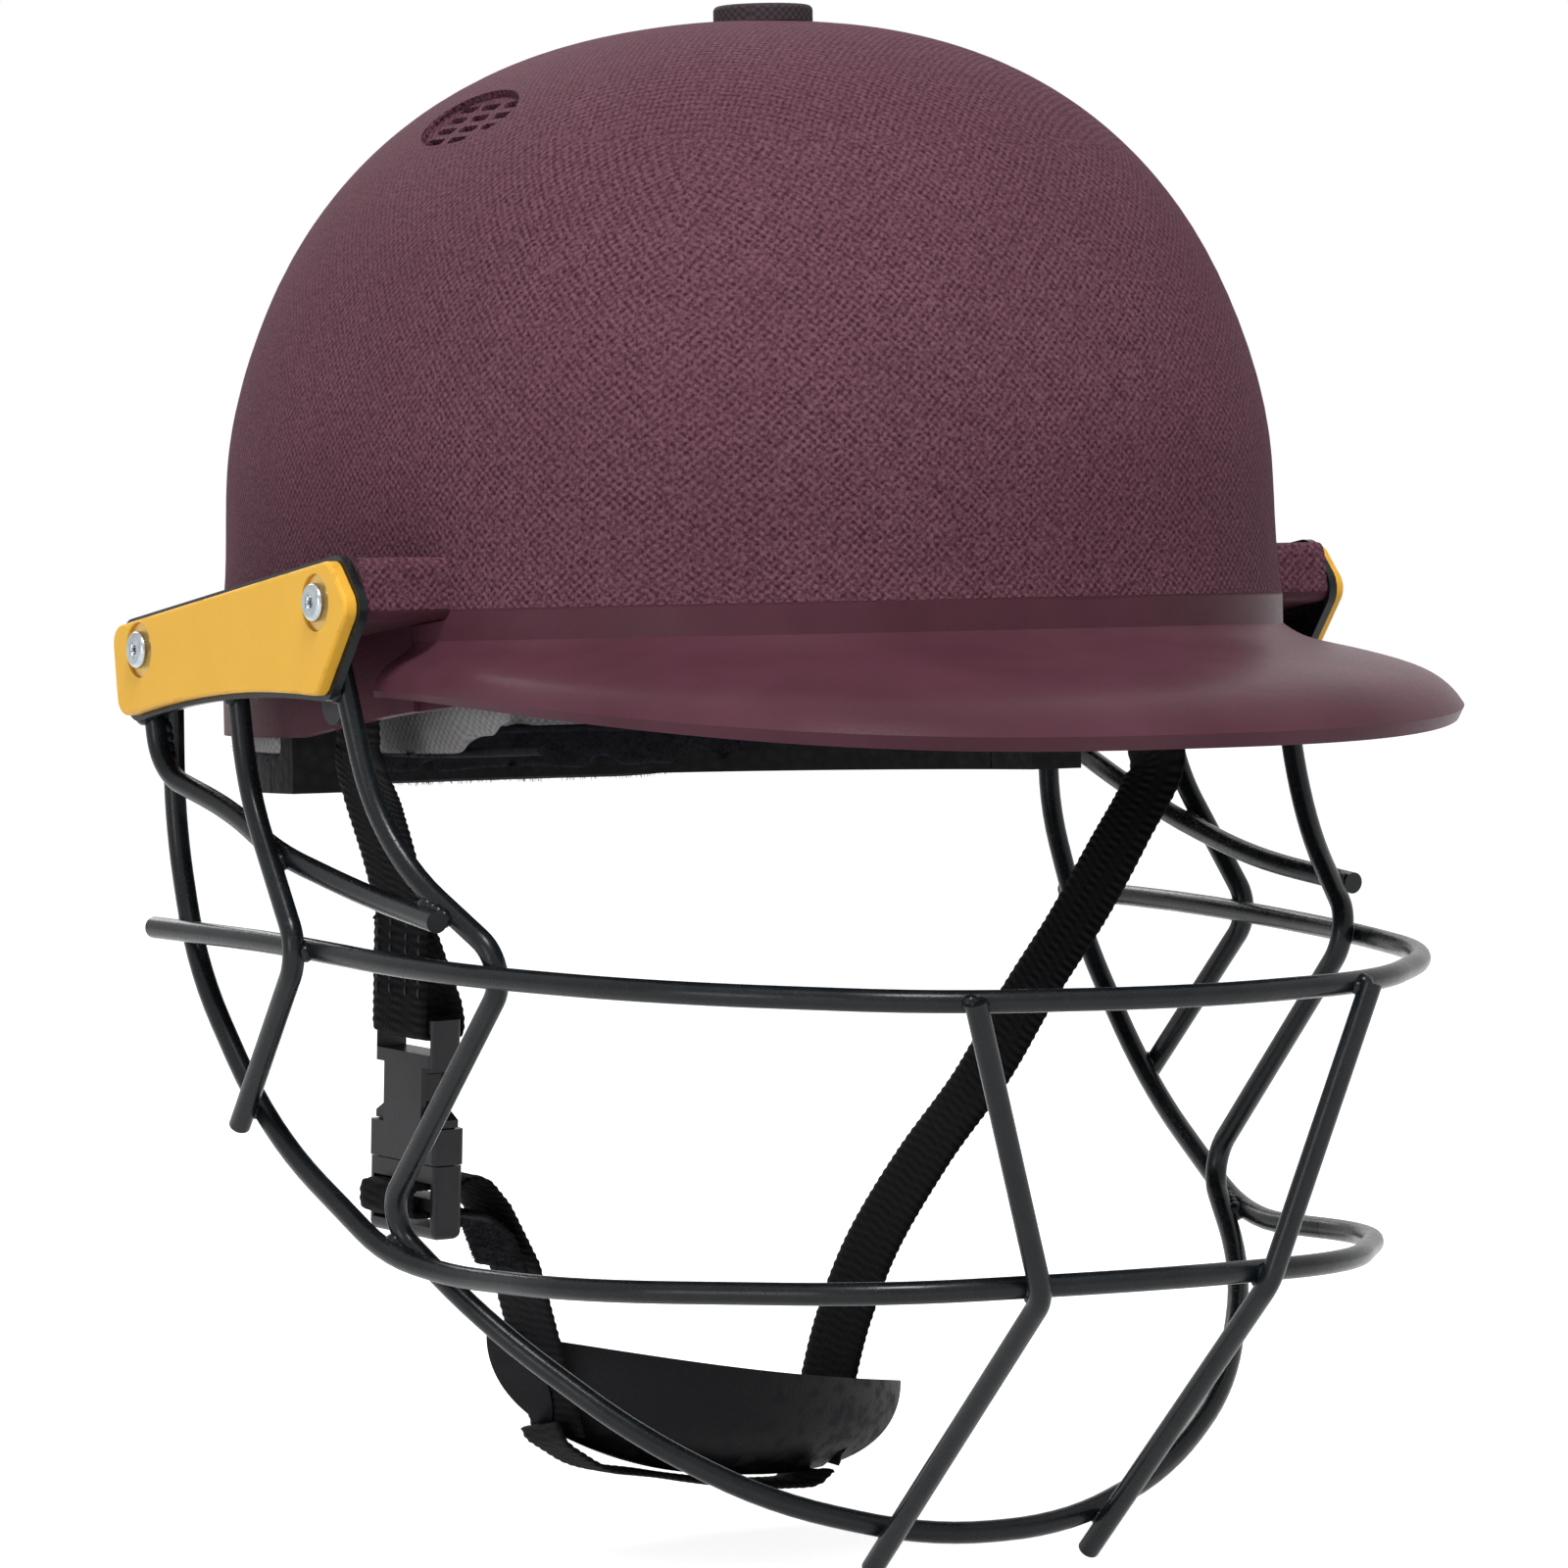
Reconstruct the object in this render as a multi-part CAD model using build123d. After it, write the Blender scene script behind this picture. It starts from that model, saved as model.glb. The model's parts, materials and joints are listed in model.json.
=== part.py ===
from build123d import *
from math import acos, cos, pi, radians, sin
import os

# A cricket helmet: a hard shell with a peak, a padded liner, a welded wire faceguard and a chin harness.
# The frame is the wearer's: the front is -Y, the wearer's left is +X, and Z is up.
# The plane Z = 0 is the headband line, and X = 0 is the mirror plane.

# Shell: a dome on an oval plan, rounder at the back
shell_half_width = 112.0
shell_front_reach = 128.0
shell_back_reach = 142.0
shell_rise = 134.8
shell_wall = 3.5
dome_centre_y = 9.5
plan_power = 2.3
rise_power = 2.38
rim_front_depth = 22.0
rim_side_depth = 26.0
rim_back_depth = 27.0

# Peak: a smooth band round the front that flares out to a drooping edge
band_wall = 1.6
band_depth = 6.5
peak_wall = 3.2
peak_half_width = 119.5
peak_end_y = -27.0
peak_reach = 150.0
peak_power = 2.7
peak_front_drop = 32.4
peak_side_drop = 18.6
bond_gap = 0.15

# Crown button and air vents
button_dia = 23.0
button_height = 3.4
button_edge = 1.2
button_stem_dia = 6.0
vent_length = 38.0
vent_height = 20.0
vent_depth = 2.2
vent_slot_length = 7.8
vent_slot_height = 2.3
vent_slot_pitch_y = 10.4
vent_slot_pitch_z = 3.9
vent_columns = 3
vent_rows = 4
vent_y = 11.0
vent_z = shell_rise * 0.8353

# Padding
foam_wall = 14.0
foam_gap = 0.3
foam_lip = 13.0
foam_split = 0.4
foam_front_y = -34.0
foam_rear_y = 52.0
foam_crown_z = shell_rise * 0.6528
channel_room = 22.0
pad_gap = 1.0
pad_thickness = 9.0
pad_shoulder_share = 0.55
pad_round_share = 0.12
brow_pad_top = 22.0
brow_pad_bottom = 18.0
brow_pad_angle = 52.0
side_pad_top = 10.0
side_pad_bottom = 37.0
side_pad_start = 68.0
side_pad_end = 112.0
nape_pad_top = 6.0
nape_pad_bottom = 44.0
nape_pad_start = 128.0
nape_pad_end = 232.0
crown_pad_radius = 46.0
crown_pad_thickness = 8.0

# Faceguard side plates, their covers and their fasteners
boss_reach = 15.5
plate_inner_x = shell_half_width + boss_reach
plate_wall = 2.0
plate_lip = 1.3
cover_wall = 3.0
cover_gap = 0.1
cover_edge = 0.9
plate_centre_y = 18.9
plate_centre_z = -2.4
plate_tilt = 6.4
plate_half_length = 58.0
plate_bottom = 14.4
plate_corner = 4.5
boss_half_length = 58.5
boss_top = 8.4
boss_bottom = 5.6
boss_corner = 3.0
boss_gap = 0.3
screw_spacing = 89.0
screw_dia = 4.8
screw_length = 15.0
screw_head_dia = 8.6
screw_head_height = 2.2
screw_socket_dia = 4.0
screw_socket_depth = 1.2
screw_clearance = 0.1
washer_dia = 12.6
washer_wall = 1.0
washer_inset = 0.7
insert_dia = 8.0
insert_length = 10.0

# Faceguard wire: points lie on an oval body of these sizes, and a layer stacks one wire on another
wire_dia = 5.0
weld_sink = 0.35
guard_half_width = plate_inner_x - 1.5 * wire_dia + 2 * weld_sink
guard_reach = 165.0
guard_drop = 210.0
bend_radius = 9.0
bend_share = 0.45

# Chin harness
strap_width = 20.0
strap_wall = 1.6
strap_axis_y = 5.0
strap_axis_z = -20.0
strap_tab = 8.0
strap_gap = 0.3
strap_side_gap = 1.0
rivet_dia = 6.0
rivet_clearance = 0.05
rivet_head_dia = 10.0
rivet_head_height = 1.2
cup_half_length = shell_half_width * 0.509
cup_half_width = 24.0
cup_depth = 27.5
cup_wall = 2.6
cup_power = 2.3
cup_centre_x = -shell_half_width * 0.018
cup_centre_y = 40.0
cup_rim_z = -176.5
cup_roll = 9.6
cup_pitch = 12.0
cup_sag = 6.5
cup_strap_gap = 0.5

# Side-release buckle on the wearer's right
buckle_width = 26.0
buckle_wall = 8.5
buckle_bar = 3.0
buckle_slot = 5.0
buckle_rail = 2.0
socket_width = 22.5
socket_length = 33.0
socket_shell = 1.5
socket_shoulder = 11.0
socket_waist = 4.0
socket_mouth_length = 8.2
plug_length = 17.0
plug_wall = 5.0
plug_collar = 4.0
plug_slot = 3.5
prong_width = 3.4
prong_gap = 0.3
prong_pin_dia = 2.0
barb_width = 1.3
barb_length = 5.5
fold_radius = 1.2
fold_reach = 8.2

# One overrun serves every cut
overrun = 1.0

# How finely the lofted shapes are sliced
plan_samples = 32
peak_slices = 7


def signed_power(value, exponent):
    """A power that keeps the sign, so one formula runs round all four quadrants."""
    return (1 if value >= 0 else -1) * abs(value) ** exponent


def plan_point(angle, inset=0.0, share=1.0):
    """A point of the shell's plan outline. The angle runs from the front to the wearer's left."""
    reach = shell_front_reach if cos(angle) >= 0 else shell_back_reach
    x = (shell_half_width - inset) * share * signed_power(sin(angle), 2 / plan_power)
    y = dome_centre_y - (reach - inset) * share * signed_power(cos(angle), 2 / plan_power)
    return x, y


def plan_face(inset, share, height):
    """The dome's closed outline at one height, as a flat face."""
    angles = [2 * pi * i / plan_samples for i in range(plan_samples)]
    points = [Vector(*plan_point(angle, inset, share), height) for angle in angles]
    return Face(Wire([Spline(*points, periodic=True)]))


def dome_solid(inset, depth):
    """The dome with straight sides below the headband line, drawn in all round by the inset."""
    rise_steps = [0, 12, 24, 35, 45, 54, 62, 69, 75, 80, 84, 87.5]
    faces = []
    for step in rise_steps:
        share = cos(radians(step)) ** (2 / rise_power)
        height = (shell_rise - inset) * sin(radians(step)) ** (2 / rise_power)
        faces.append(plan_face(inset, share, height))
    dome = loft(faces)
    skirt = extrude(plan_face(inset, 1.0, 0.0), amount=-depth, dir=(0, 0, 1))
    return dome + skirt


def mirrored(shape):
    """The same piece on the other side of the helmet."""
    return mirror(shape, about=Plane.YZ)


def side_box(x_low, x_high, y_low, y_high, z_low, z_high):
    """A box between two corners."""
    size = (x_high - x_low, y_high - y_low, z_high - z_low)
    middle = ((x_low + x_high) / 2, (y_low + y_high) / 2, (z_low + z_high) / 2)
    return Pos(*middle) * Box(*size)


# The plate frame: local X runs back along the plate, local Y runs up across it, and local Z points outward
plate_plane = Plane(
    origin=(0, plate_centre_y, plate_centre_z),
    x_dir=(0, cos(radians(plate_tilt)), -sin(radians(plate_tilt))),
    z_dir=(1, 0, 0),
)


def on_plate(along, up, out=0.0):
    """A world point given in the plate frame, on the wearer's left."""
    return plate_plane.from_local_coords(Vector(along, up, out))


def screw_places():
    """The two screws of the left plate, as distances along it."""
    return [-screw_spacing / 2, screw_spacing / 2]


def left_cylinder(along, radius, x_low, x_high):
    """A cylinder across the left plate at one screw."""
    centre = on_plate(along, 0.0, (x_low + x_high) / 2)
    return Pos(*centre) * Rot(0, 90, 0) * Cylinder(radius, x_high - x_low)


def boss_block(grow=0.0):
    """The rounded rail that stands out of the shell's side and carries the plate, before the dome trims it."""
    length = 2 * (boss_half_length + grow)
    height = boss_top + boss_bottom + 2 * grow
    middle = (boss_top - boss_bottom) / 2
    sketch = plate_plane * Pos(0, middle) * RectangleRounded(length, height, boss_corner + grow)
    depth = plate_inner_x - shell_half_width + foam_wall
    block = extrude(sketch, amount=plate_inner_x + grow, dir=(1, 0, 0))
    inner = side_box(
        -overrun,
        plate_inner_x - depth,
        -peak_reach,
        shell_back_reach,
        -guard_drop,
        shell_rise,
    )
    return block - inner


def rim_cutter(lift=0.0):
    """Everything below the shell's rim, which drops from the brow to the nape."""
    front_y = dome_centre_y - shell_front_reach - overrun
    back_y = dome_centre_y + shell_back_reach + overrun
    rim = Spline(
        (0, front_y, -rim_front_depth + lift),
        (0, peak_end_y, -rim_front_depth + lift),
        (0, dome_centre_y, -rim_side_depth + lift),
        (0, back_y, -rim_back_depth + lift),
    )
    floor = -guard_drop
    line = Polyline(rim @ 1, (0, back_y, floor), (0, front_y, floor), rim @ 0)
    face = make_face(rim.edges() + line.edges())
    return extrude(face, amount=shell_half_width + overrun, dir=(1, 0, 0), both=True)


def vent_places():
    """Each slot of the left vent, as steps back and up from its middle."""
    columns = [(i - (vent_columns - 1) / 2) * vent_slot_pitch_y for i in range(vent_columns)]
    rows = [(j - (vent_rows - 1) / 2) * vent_slot_pitch_z for j in range(vent_rows)]
    return [(back, up) for back in columns for up in rows]


def vent_plane():
    """A plane that lies on the dome at the left vent and faces out of it."""
    share = (1 - (vent_z / shell_rise) ** rise_power) ** (1 / rise_power)
    y_share = abs(vent_y - dome_centre_y) / (shell_back_reach * share)
    x = shell_half_width * share * (1 - y_share ** plan_power) ** (1 / plan_power)
    slope_x = (x / shell_half_width) ** (rise_power - 1) / shell_half_width
    slope_z = (vent_z / shell_rise) ** (rise_power - 1) / shell_rise
    return Plane(origin=(x, vent_y, vent_z), x_dir=(0, 1, 0), z_dir=(slope_x, 0, slope_z))


def make_shell():
    """The dome with its two side rails, its rebate for the peak's band, and its holes."""
    depth = rim_back_depth + overrun
    outer = dome_solid(0.0, depth)
    inner = dome_solid(shell_wall, depth + overrun)
    boss = boss_block()
    for along in screw_places():
        insert_x = plate_inner_x - insert_length
        boss -= left_cylinder(along, insert_dia / 2, insert_x, plate_inner_x + overrun)
        stem_end = plate_inner_x + plate_wall + cover_wall - screw_length - overrun
        boss -= left_cylinder(along, screw_dia / 2 + screw_clearance, stem_end, plate_inner_x)
    shell = outer + boss + mirrored(boss) - inner - rim_cutter()
    rebate_outer = side_box(
        -shell_half_width - overrun,
        shell_half_width + overrun,
        dome_centre_y - shell_front_reach - overrun,
        peak_end_y + boss_gap,
        -depth,
        0.0,
    )
    rebate = rebate_outer - dome_solid(band_wall, depth + overrun) - boss - mirrored(boss)
    shell -= rebate
    plane = vent_plane()
    oval = extrude(Ellipse(vent_length / 2, vent_height / 2), vent_height)
    recess = plane * Pos(0, 0, -vent_depth) * oval
    slots = []
    for back, up in vent_places():
        slot = SlotOverall(vent_slot_length, vent_slot_height)
        slots.append(plane * Pos(back, up, 0) * extrude(slot, amount=shell_wall * 2, both=True))
    for cut in [recess] + slots:
        shell -= cut
        shell -= mirrored(cut)
    shell -= x_cylinder(rivet_dia / 2, -shell_half_width - overrun, shell_half_width + overrun)
    button_hole = Pos(0, 0, shell_rise) * Cylinder(button_stem_dia / 2, foam_wall)
    return shell - button_hole


def peak_section(step):
    """One upright slice of the peak. The step runs from -1 at the wearer's right end to 1 at the left."""
    root_share = ((dome_centre_y - peak_end_y) / shell_front_reach) ** (plan_power / 2)
    end_angle = acos(root_share)
    root_x, root_y = plan_point(step * end_angle)
    turn = step * pi / 2
    edge_x = peak_half_width * signed_power(sin(turn), 2 / peak_power)
    edge_y = peak_end_y - peak_reach * abs(cos(turn)) ** (2 / peak_power)
    edge_z = -peak_side_drop - (peak_front_drop - peak_side_drop) * abs(cos(turn))
    root = Vector(root_x, root_y, 0)
    reach = Vector(edge_x, edge_y, 0) - root
    plane = Plane(origin=root, x_dir=reach, z_dir=reach.cross(Vector(0, 0, 1)))
    drop = edge_z + band_depth
    top_shares = [(0.0, 0.0), (0.09, 0.12), (0.34, 0.27), (0.66, 0.43), (0.88, 0.62), (1.0, 0.88)]
    under_shares = [(0.97, 1.0), (0.9, 0.80), (0.66, 0.52), (0.34, 0.34), (0.0, 0.2)]
    span = reach.length
    top = [(span * u, -band_depth + drop * v) for u, v in top_shares]
    lip = (span * under_shares[0][0], edge_z)
    under = [lip] + [(span * u, -band_depth + drop * v - peak_wall * (1 - v)) for u, v in under_shares[1:]]
    inner_x = -band_wall + bond_gap
    edges = [
        Line((inner_x, 0), (0, 0)),
        Line((0, 0), top[0]),
        Spline(*top),
        Line(top[-1], lip),
        Spline(*under),
        Line(under[-1], (inner_x, under[-1][1])),
        Line((inner_x, under[-1][1]), (inner_x, 0)),
    ]
    return plane * make_face(edges)


def make_peak():
    """The smooth moulding round the front: a band that seats in the shell's rebate, and the peak itself."""
    sections = [peak_section(i / peak_slices) for i in range(-peak_slices, peak_slices + 1)]
    peak = loft(sections)
    boss = boss_block(boss_gap)
    return peak - boss - mirrored(boss)


def make_top_button():
    """The button on the crown, with its stem through the shell."""
    button = Pos(0, 0, shell_rise + button_height / 2) * Cylinder(button_dia / 2, button_height)
    button = fillet(button.edges().sort_by(Axis.Z)[-1], button_edge)
    skirt = Pos(0, 0, shell_rise) * Cylinder(button_dia / 2, button_edge)
    stem_length = shell_wall + button_height
    stem_radius = button_stem_dia / 2 - screw_clearance
    stem = Pos(0, 0, shell_rise + button_height / 2 - stem_length / 2) * Cylinder(stem_radius, stem_length)
    return button + skirt - dome_solid(0.0, overrun) + stem


def make_foam():
    """The thick foam inside the shell, cut back where the straps hang, as five blocks that fill the dome."""
    outer_inset = shell_wall + foam_gap
    depth = rim_back_depth + foam_lip + overrun
    foam = dome_solid(outer_inset, depth) - dome_solid(outer_inset + foam_wall, depth + overrun)
    channel_half = strap_width / 2 + channel_room
    channel = side_box(
        -shell_half_width,
        shell_half_width,
        strap_axis_y - channel_half,
        strap_axis_y + channel_half,
        -depth - overrun,
        strap_axis_z + strap_tab + strap_width / 2,
    )
    front = side_box(
        -shell_half_width,
        shell_half_width,
        -shell_front_reach,
        strap_axis_y,
        -depth - overrun,
        -brow_pad_bottom,
    )
    for along in screw_places():
        stem_end = plate_inner_x + plate_wall + cover_wall - screw_length - overrun
        hole = left_cylinder(along, screw_dia / 2 + screw_clearance, stem_end, plate_inner_x)
        foam = foam - hole - mirrored(hole)
    stem_hole = Pos(0, 0, shell_rise) * Cylinder(button_stem_dia / 2, foam_wall)
    foam = foam - channel - front - rim_cutter(-foam_lip) - stem_hole
    side = shell_half_width
    ahead = -shell_front_reach
    behind = shell_back_reach + dome_centre_y
    half = foam_split / 2
    blocks = {
        "foam_crown": side_box(-side, side, ahead, behind, foam_crown_z + half, shell_rise),
        "foam_front": side_box(-side, side, ahead, foam_front_y - half, -depth, foam_crown_z - half),
        "foam_rear": side_box(-side, side, foam_rear_y + half, behind, -depth, foam_crown_z - half),
        "foam_left": side_box(0, side, foam_front_y + half, foam_rear_y - half, -depth, foam_crown_z - half),
        "foam_right": side_box(-side, 0, foam_front_y + half, foam_rear_y - half, -depth, foam_crown_z - half),
    }
    return {name: foam & block for name, block in blocks.items()}


def pad_section(angle, inset, thickness, low, high):
    """A slice of a comfort pad: flat against the foam, with a crowned face towards the head."""
    x, y = plan_point(angle, inset)
    ahead_x, ahead_y = plan_point(angle + radians(1), inset)
    along = Vector(ahead_x - x, ahead_y - y, 0)
    inward = Vector(0, 0, 1).cross(along).normalized()
    if inward.dot(Vector(x, y - dome_centre_y, 0)) > 0:
        inward = -inward
    plane = Plane(origin=(x, y, 0), x_dir=inward, z_dir=inward.cross(Vector(0, 0, 1)))
    middle = (low + high) / 2
    shoulder = thickness * pad_shoulder_share
    edge = (high - low) * pad_round_share
    rise_share = max(high, 0.0) / (shell_rise - inset)
    lean = shell_back_reach * (1 - (1 - rise_share ** rise_power) ** (1 / rise_power))
    edges = [
        Line((0, low), (lean, high)),
        Line((lean, high), (shoulder + lean, high - edge)),
        ThreePointArc((shoulder + lean, high - edge), (thickness, middle), (shoulder, low + edge)),
        Line((shoulder, low + edge), (0, low)),
    ]
    return plane * make_face(edges)


def curved_pad(start_degrees, end_degrees, low, high):
    """A comfort pad that follows the foam from one plan angle to another and pulls in at its ends."""
    inset = shell_wall + foam_gap + foam_wall + pad_gap
    end_shares = [0.42, 0.7, 0.86, 0.95, 0.99, 1.0, 1.0, 1.0, 0.99, 0.95, 0.86, 0.7, 0.42]
    last = len(end_shares) - 1
    middle = (low + high) / 2
    sections = []
    for i, share in enumerate(end_shares):
        angle = radians(start_degrees + (end_degrees - start_degrees) * i / last)
        half = (high - low) / 2 * share
        sections.append(pad_section(angle, inset, pad_thickness * share, middle - half, middle + half))
    return loft(sections)


def make_crown_pad():
    """The round pad under the crown of the foam."""
    inset = shell_wall + foam_gap + foam_wall + pad_gap
    pad = dome_solid(inset, overrun) - dome_solid(inset + crown_pad_thickness, 2 * overrun)
    return pad & (Pos(0, dome_centre_y, shell_rise) * Cylinder(crown_pad_radius, shell_rise))


def plate_outline(grow=0.0):
    """The side plate's outline in its own frame: straight on top, a drooping front and a hollow lower edge."""
    along_shares = [1.0, 1.0, -0.89, -1.03, -0.71]
    up_shares = [-1.0, 0.475, 0.592, -0.2, -1.42]
    hollow_shares = (0.112, -1.01)
    corners = [(plate_half_length * u, plate_bottom * v) for u, v in zip(along_shares, up_shares)]
    low_back = corners[0]
    chin = corners[-1]
    hollow = (plate_half_length * hollow_shares[0], plate_bottom * hollow_shares[1])
    lines = Polyline(*corners)
    lower = ThreePointArc(chin, hollow, low_back)
    face = make_face(lines.edges() + lower.edges())
    face = fillet(face.vertices(), radius=plate_corner)
    return offset(face, grow) if grow else face


def plate_slab(grow, x_low, x_high):
    """The plate's outline as a slab between two distances from the mirror plane."""
    sketch = plate_plane * plate_outline(grow)
    return Pos(x_low, 0, 0) * extrude(sketch, amount=x_high - x_low, dir=(1, 0, 0))


def make_cage_plate():
    """The steel plate that the guard's wires are welded to."""
    plate = plate_slab(plate_lip, plate_inner_x, plate_inner_x + plate_wall)
    for along in screw_places():
        reach = plate_inner_x + plate_wall + overrun
        plate -= left_cylinder(along, screw_dia / 2 + screw_clearance, plate_inner_x - overrun, reach)
    return plate


def make_side_cover():
    """The coloured cover over the steel plate, with a dished seat at each screw."""
    base_x = plate_inner_x + plate_wall + cover_gap
    face_x = base_x + cover_wall
    cover = plate_slab(0.0, base_x, face_x)
    cover = fillet(cover.faces().sort_by(Axis.X)[-1].edges(), cover_edge)
    for along in screw_places():
        cover -= left_cylinder(along, screw_dia / 2 + screw_clearance, base_x - overrun, face_x + overrun)
        seat_x = face_x - washer_inset - washer_wall
        cover -= left_cylinder(along, washer_dia / 2 + screw_clearance, seat_x, face_x + overrun)
    return cover


def make_screw(along):
    """One pan-head screw through the cover and plate into the shell's insert."""
    under_head = plate_inner_x + plate_wall + cover_gap + cover_wall - washer_inset
    head = left_cylinder(along, screw_head_dia / 2, under_head, under_head + screw_head_height)
    head = fillet(head.edges().sort_by(Axis.X)[-1], screw_head_height / 2)
    stem = left_cylinder(along, screw_dia / 2, under_head - screw_length, under_head)
    top = under_head + screw_head_height
    centre = on_plate(along, 0.0, top)
    socket = Pos(*centre) * Rot(0, 90, 0) * RegularPolygon(screw_socket_dia / 2, 6)
    return head + stem - extrude(socket, amount=screw_socket_depth, both=True)


def make_washer(along):
    """One cup washer sunk in the cover."""
    face_x = plate_inner_x + plate_wall + cover_gap + cover_wall - washer_inset
    disc = left_cylinder(along, washer_dia / 2, face_x - washer_wall, face_x)
    return disc - left_cylinder(along, screw_dia / 2 + screw_clearance, face_x - 2 * washer_wall, face_x + overrun)


def make_insert(along):
    """One threaded brass insert in the shell's side rail."""
    inner_x = plate_inner_x - insert_length
    body = left_cylinder(along, insert_dia / 2, inner_x, plate_inner_x)
    return body - left_cylinder(along, screw_dia / 2 + screw_clearance, inner_x - overrun, plate_inner_x + overrun)


def both_sides(make):
    """The four pieces at the four screws, as separate solids."""
    left = [make(along) for along in screw_places()]
    return Compound(children=left + [mirrored(piece) for piece in left])


def guard_point(x_share, y_share, z_share, layer):
    """A wire's corner: a place on the guard's oval body, moved outward by whole or part layers of wire."""
    base = Vector(x_share * guard_half_width, y_share * guard_reach, z_share * guard_drop)
    outward = Vector(x_share / guard_half_width, y_share / guard_reach, z_share / guard_drop)
    return base + outward.normalized() * layer * (wire_dia - weld_sink)


def wire_path(points, tight_corners=(), tight_radius=bend_radius):
    """A bent wire's centre line: straight runs joined by arcs as large as the runs allow, but at tight corners."""
    radii = []
    for i in range(1, len(points) - 1):
        before = points[i] - points[i - 1]
        after = points[i + 1] - points[i]
        half_turn = radians(before.get_angle(after)) / 2
        largest = bend_share * min(before.length, after.length) * cos(half_turn) / sin(half_turn)
        radii.append(min(tight_radius, largest) if i in tight_corners else largest)
    return FilletPolyline(*points, radius=radii)


def make_wire(points, tight_corners=()):
    """A bent steel wire of the guard's diameter."""
    path = wire_path(points, tight_corners)
    section = Plane(origin=path @ 0, z_dir=path % 0) * Circle(wire_dia / 2)
    return sweep(section, path=path)


def whole_loop(half_points):
    """A wire that runs from the left plate round the front to the right plate."""
    left = [guard_point(*point) for point in half_points]
    right = [Vector(-point.X, point.Y, point.Z) for point in reversed(left)]
    return left + right


# Each corner of a wire is a share of the guard's half width, reach and drop, then its layer
upper_bar_shares = [
    (1.001, 0.435, -0.337, 1),
    (0.986, 0.075, -0.347, 1),
    (0.965, -0.319, -0.370, 1),
    (0.804, -0.701, -0.385, 1),
    (0.445, -0.951, -0.397, 1),
    (0.087, -1.001, -0.399, 1),
]
lower_bar_shares = [
    (1.000, 0.424, -0.076, 0),
    (0.990, 0.442, -0.225, 0),
    (1.001, 0.367, -0.384, 0),
    (0.986, 0.176, -0.559, 0),
    (0.937, -0.093, -0.681, 0),
    (0.896, -0.224, -0.699, 0),
    (0.872, -0.535, -0.700, 0),
    (0.504, -0.861, -0.701, 0),
    (0.113, -0.939, -0.698, 0),
]
chin_loop_shares = [
    (1.000, -0.126, -0.035, 1),
    (0.998, -0.206, -0.244, 0.4),
    (0.917, -0.433, -0.369, 0),
    (0.963, -0.062, -0.654, -1.3),
    (0.870, -0.240, -0.763, -1.1),
    (0.673, -0.401, -0.880, -1),
    (0.453, -0.486, -0.956, -1),
    (0.159, -0.554, -1.002, -1),
]
side_strut_shares = [
    (1.000, 0.170, -0.056, 1),
    (0.990, 0.143, -0.186, 1.2),
    (0.997, -0.027, -0.352, 1.66),
    (0.991, 0.211, -0.546, 0.85),
]
eye_spur_shares = [
    (1.000, 0.428, -0.080, 1),
    (0.996, 0.410, -0.168, 1),
    (0.987, 0.249, -0.210, 0.35),
    (0.997, 0.104, -0.254, 0.3),
    (0.961, -0.122, -0.295, 0.7),
    (0.951, -0.338, -0.316, 1.4),
]
front_strut_shares = [
    (0.401, -0.978, -0.397, 1),
    (0.231, -0.919, -0.699, 1),
    (0.236, -0.496, -1.017, 0),
]


def half_wire(points, tight_corners=()):
    """A wire that lies on the wearer's left only."""
    return make_wire([guard_point(*point) for point in points], tight_corners)


def strap_section(place, along, across, width, wall):
    """A flat slice of webbing, square to its run, with its width as near as it can be to the given way."""
    width_way = (across - along * across.dot(along)).normalized()
    plane = Plane(origin=place, x_dir=width_way, z_dir=along)
    return plane * Rectangle(width, wall)


def make_strap(points, ways, width=strap_width, wall=strap_wall):
    """A flat strap through a list of places, each with the way that its width points."""
    sections = []
    last = len(points) - 1
    for i, (point, way) in enumerate(zip(points, ways)):
        along = (points[min(i + 1, last)] - points[max(i - 1, 0)]).normalized()
        sections.append(strap_section(point, along, way, width, wall))
    return loft(sections)


def make_riveted_strap(points, ways):
    """A strap whose first stretch is a straight tab with a hole for its rivet."""
    down = Vector(0, 0, -1)
    tab = loft([strap_section(point, down, ways[0], strap_width, strap_wall) for point in points[:2]])
    run = make_strap(points[1:], ways[1:])
    return tab + run - rivet_hole()


def strap_top_x():
    """How far out a strap's middle lies where it is riveted inside the shell."""
    return shell_half_width - shell_wall - strap_side_gap - strap_wall / 2


def strap_place(out_share, back_share, drop_share, side=1):
    """A place on a strap's route: shares of the way out, of the way back to the cup, and of the drop to it."""
    x = side * out_share * strap_top_x()
    y = strap_axis_y + back_share * (cup_centre_y - strap_axis_y)
    z = strap_axis_z - drop_share * (strap_axis_z - cup_rim_z)
    return Vector(x, y, z)


def strap_route(shares, side):
    """A strap's places, from the top of its riveted tab down, and the way its width points at each."""
    tab = Vector(side * strap_top_x(), strap_axis_y, strap_axis_z + strap_tab)
    places = [tab] + [strap_place(*share, side) for share in shares]
    flat_way = Vector(0, 1, 0)
    turned_way = Vector(-strap_twist_share, 1, 0)
    flat_places = 3
    ways = [flat_way] * flat_places + [turned_way] * (len(places) - flat_places)
    return places, ways


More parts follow.
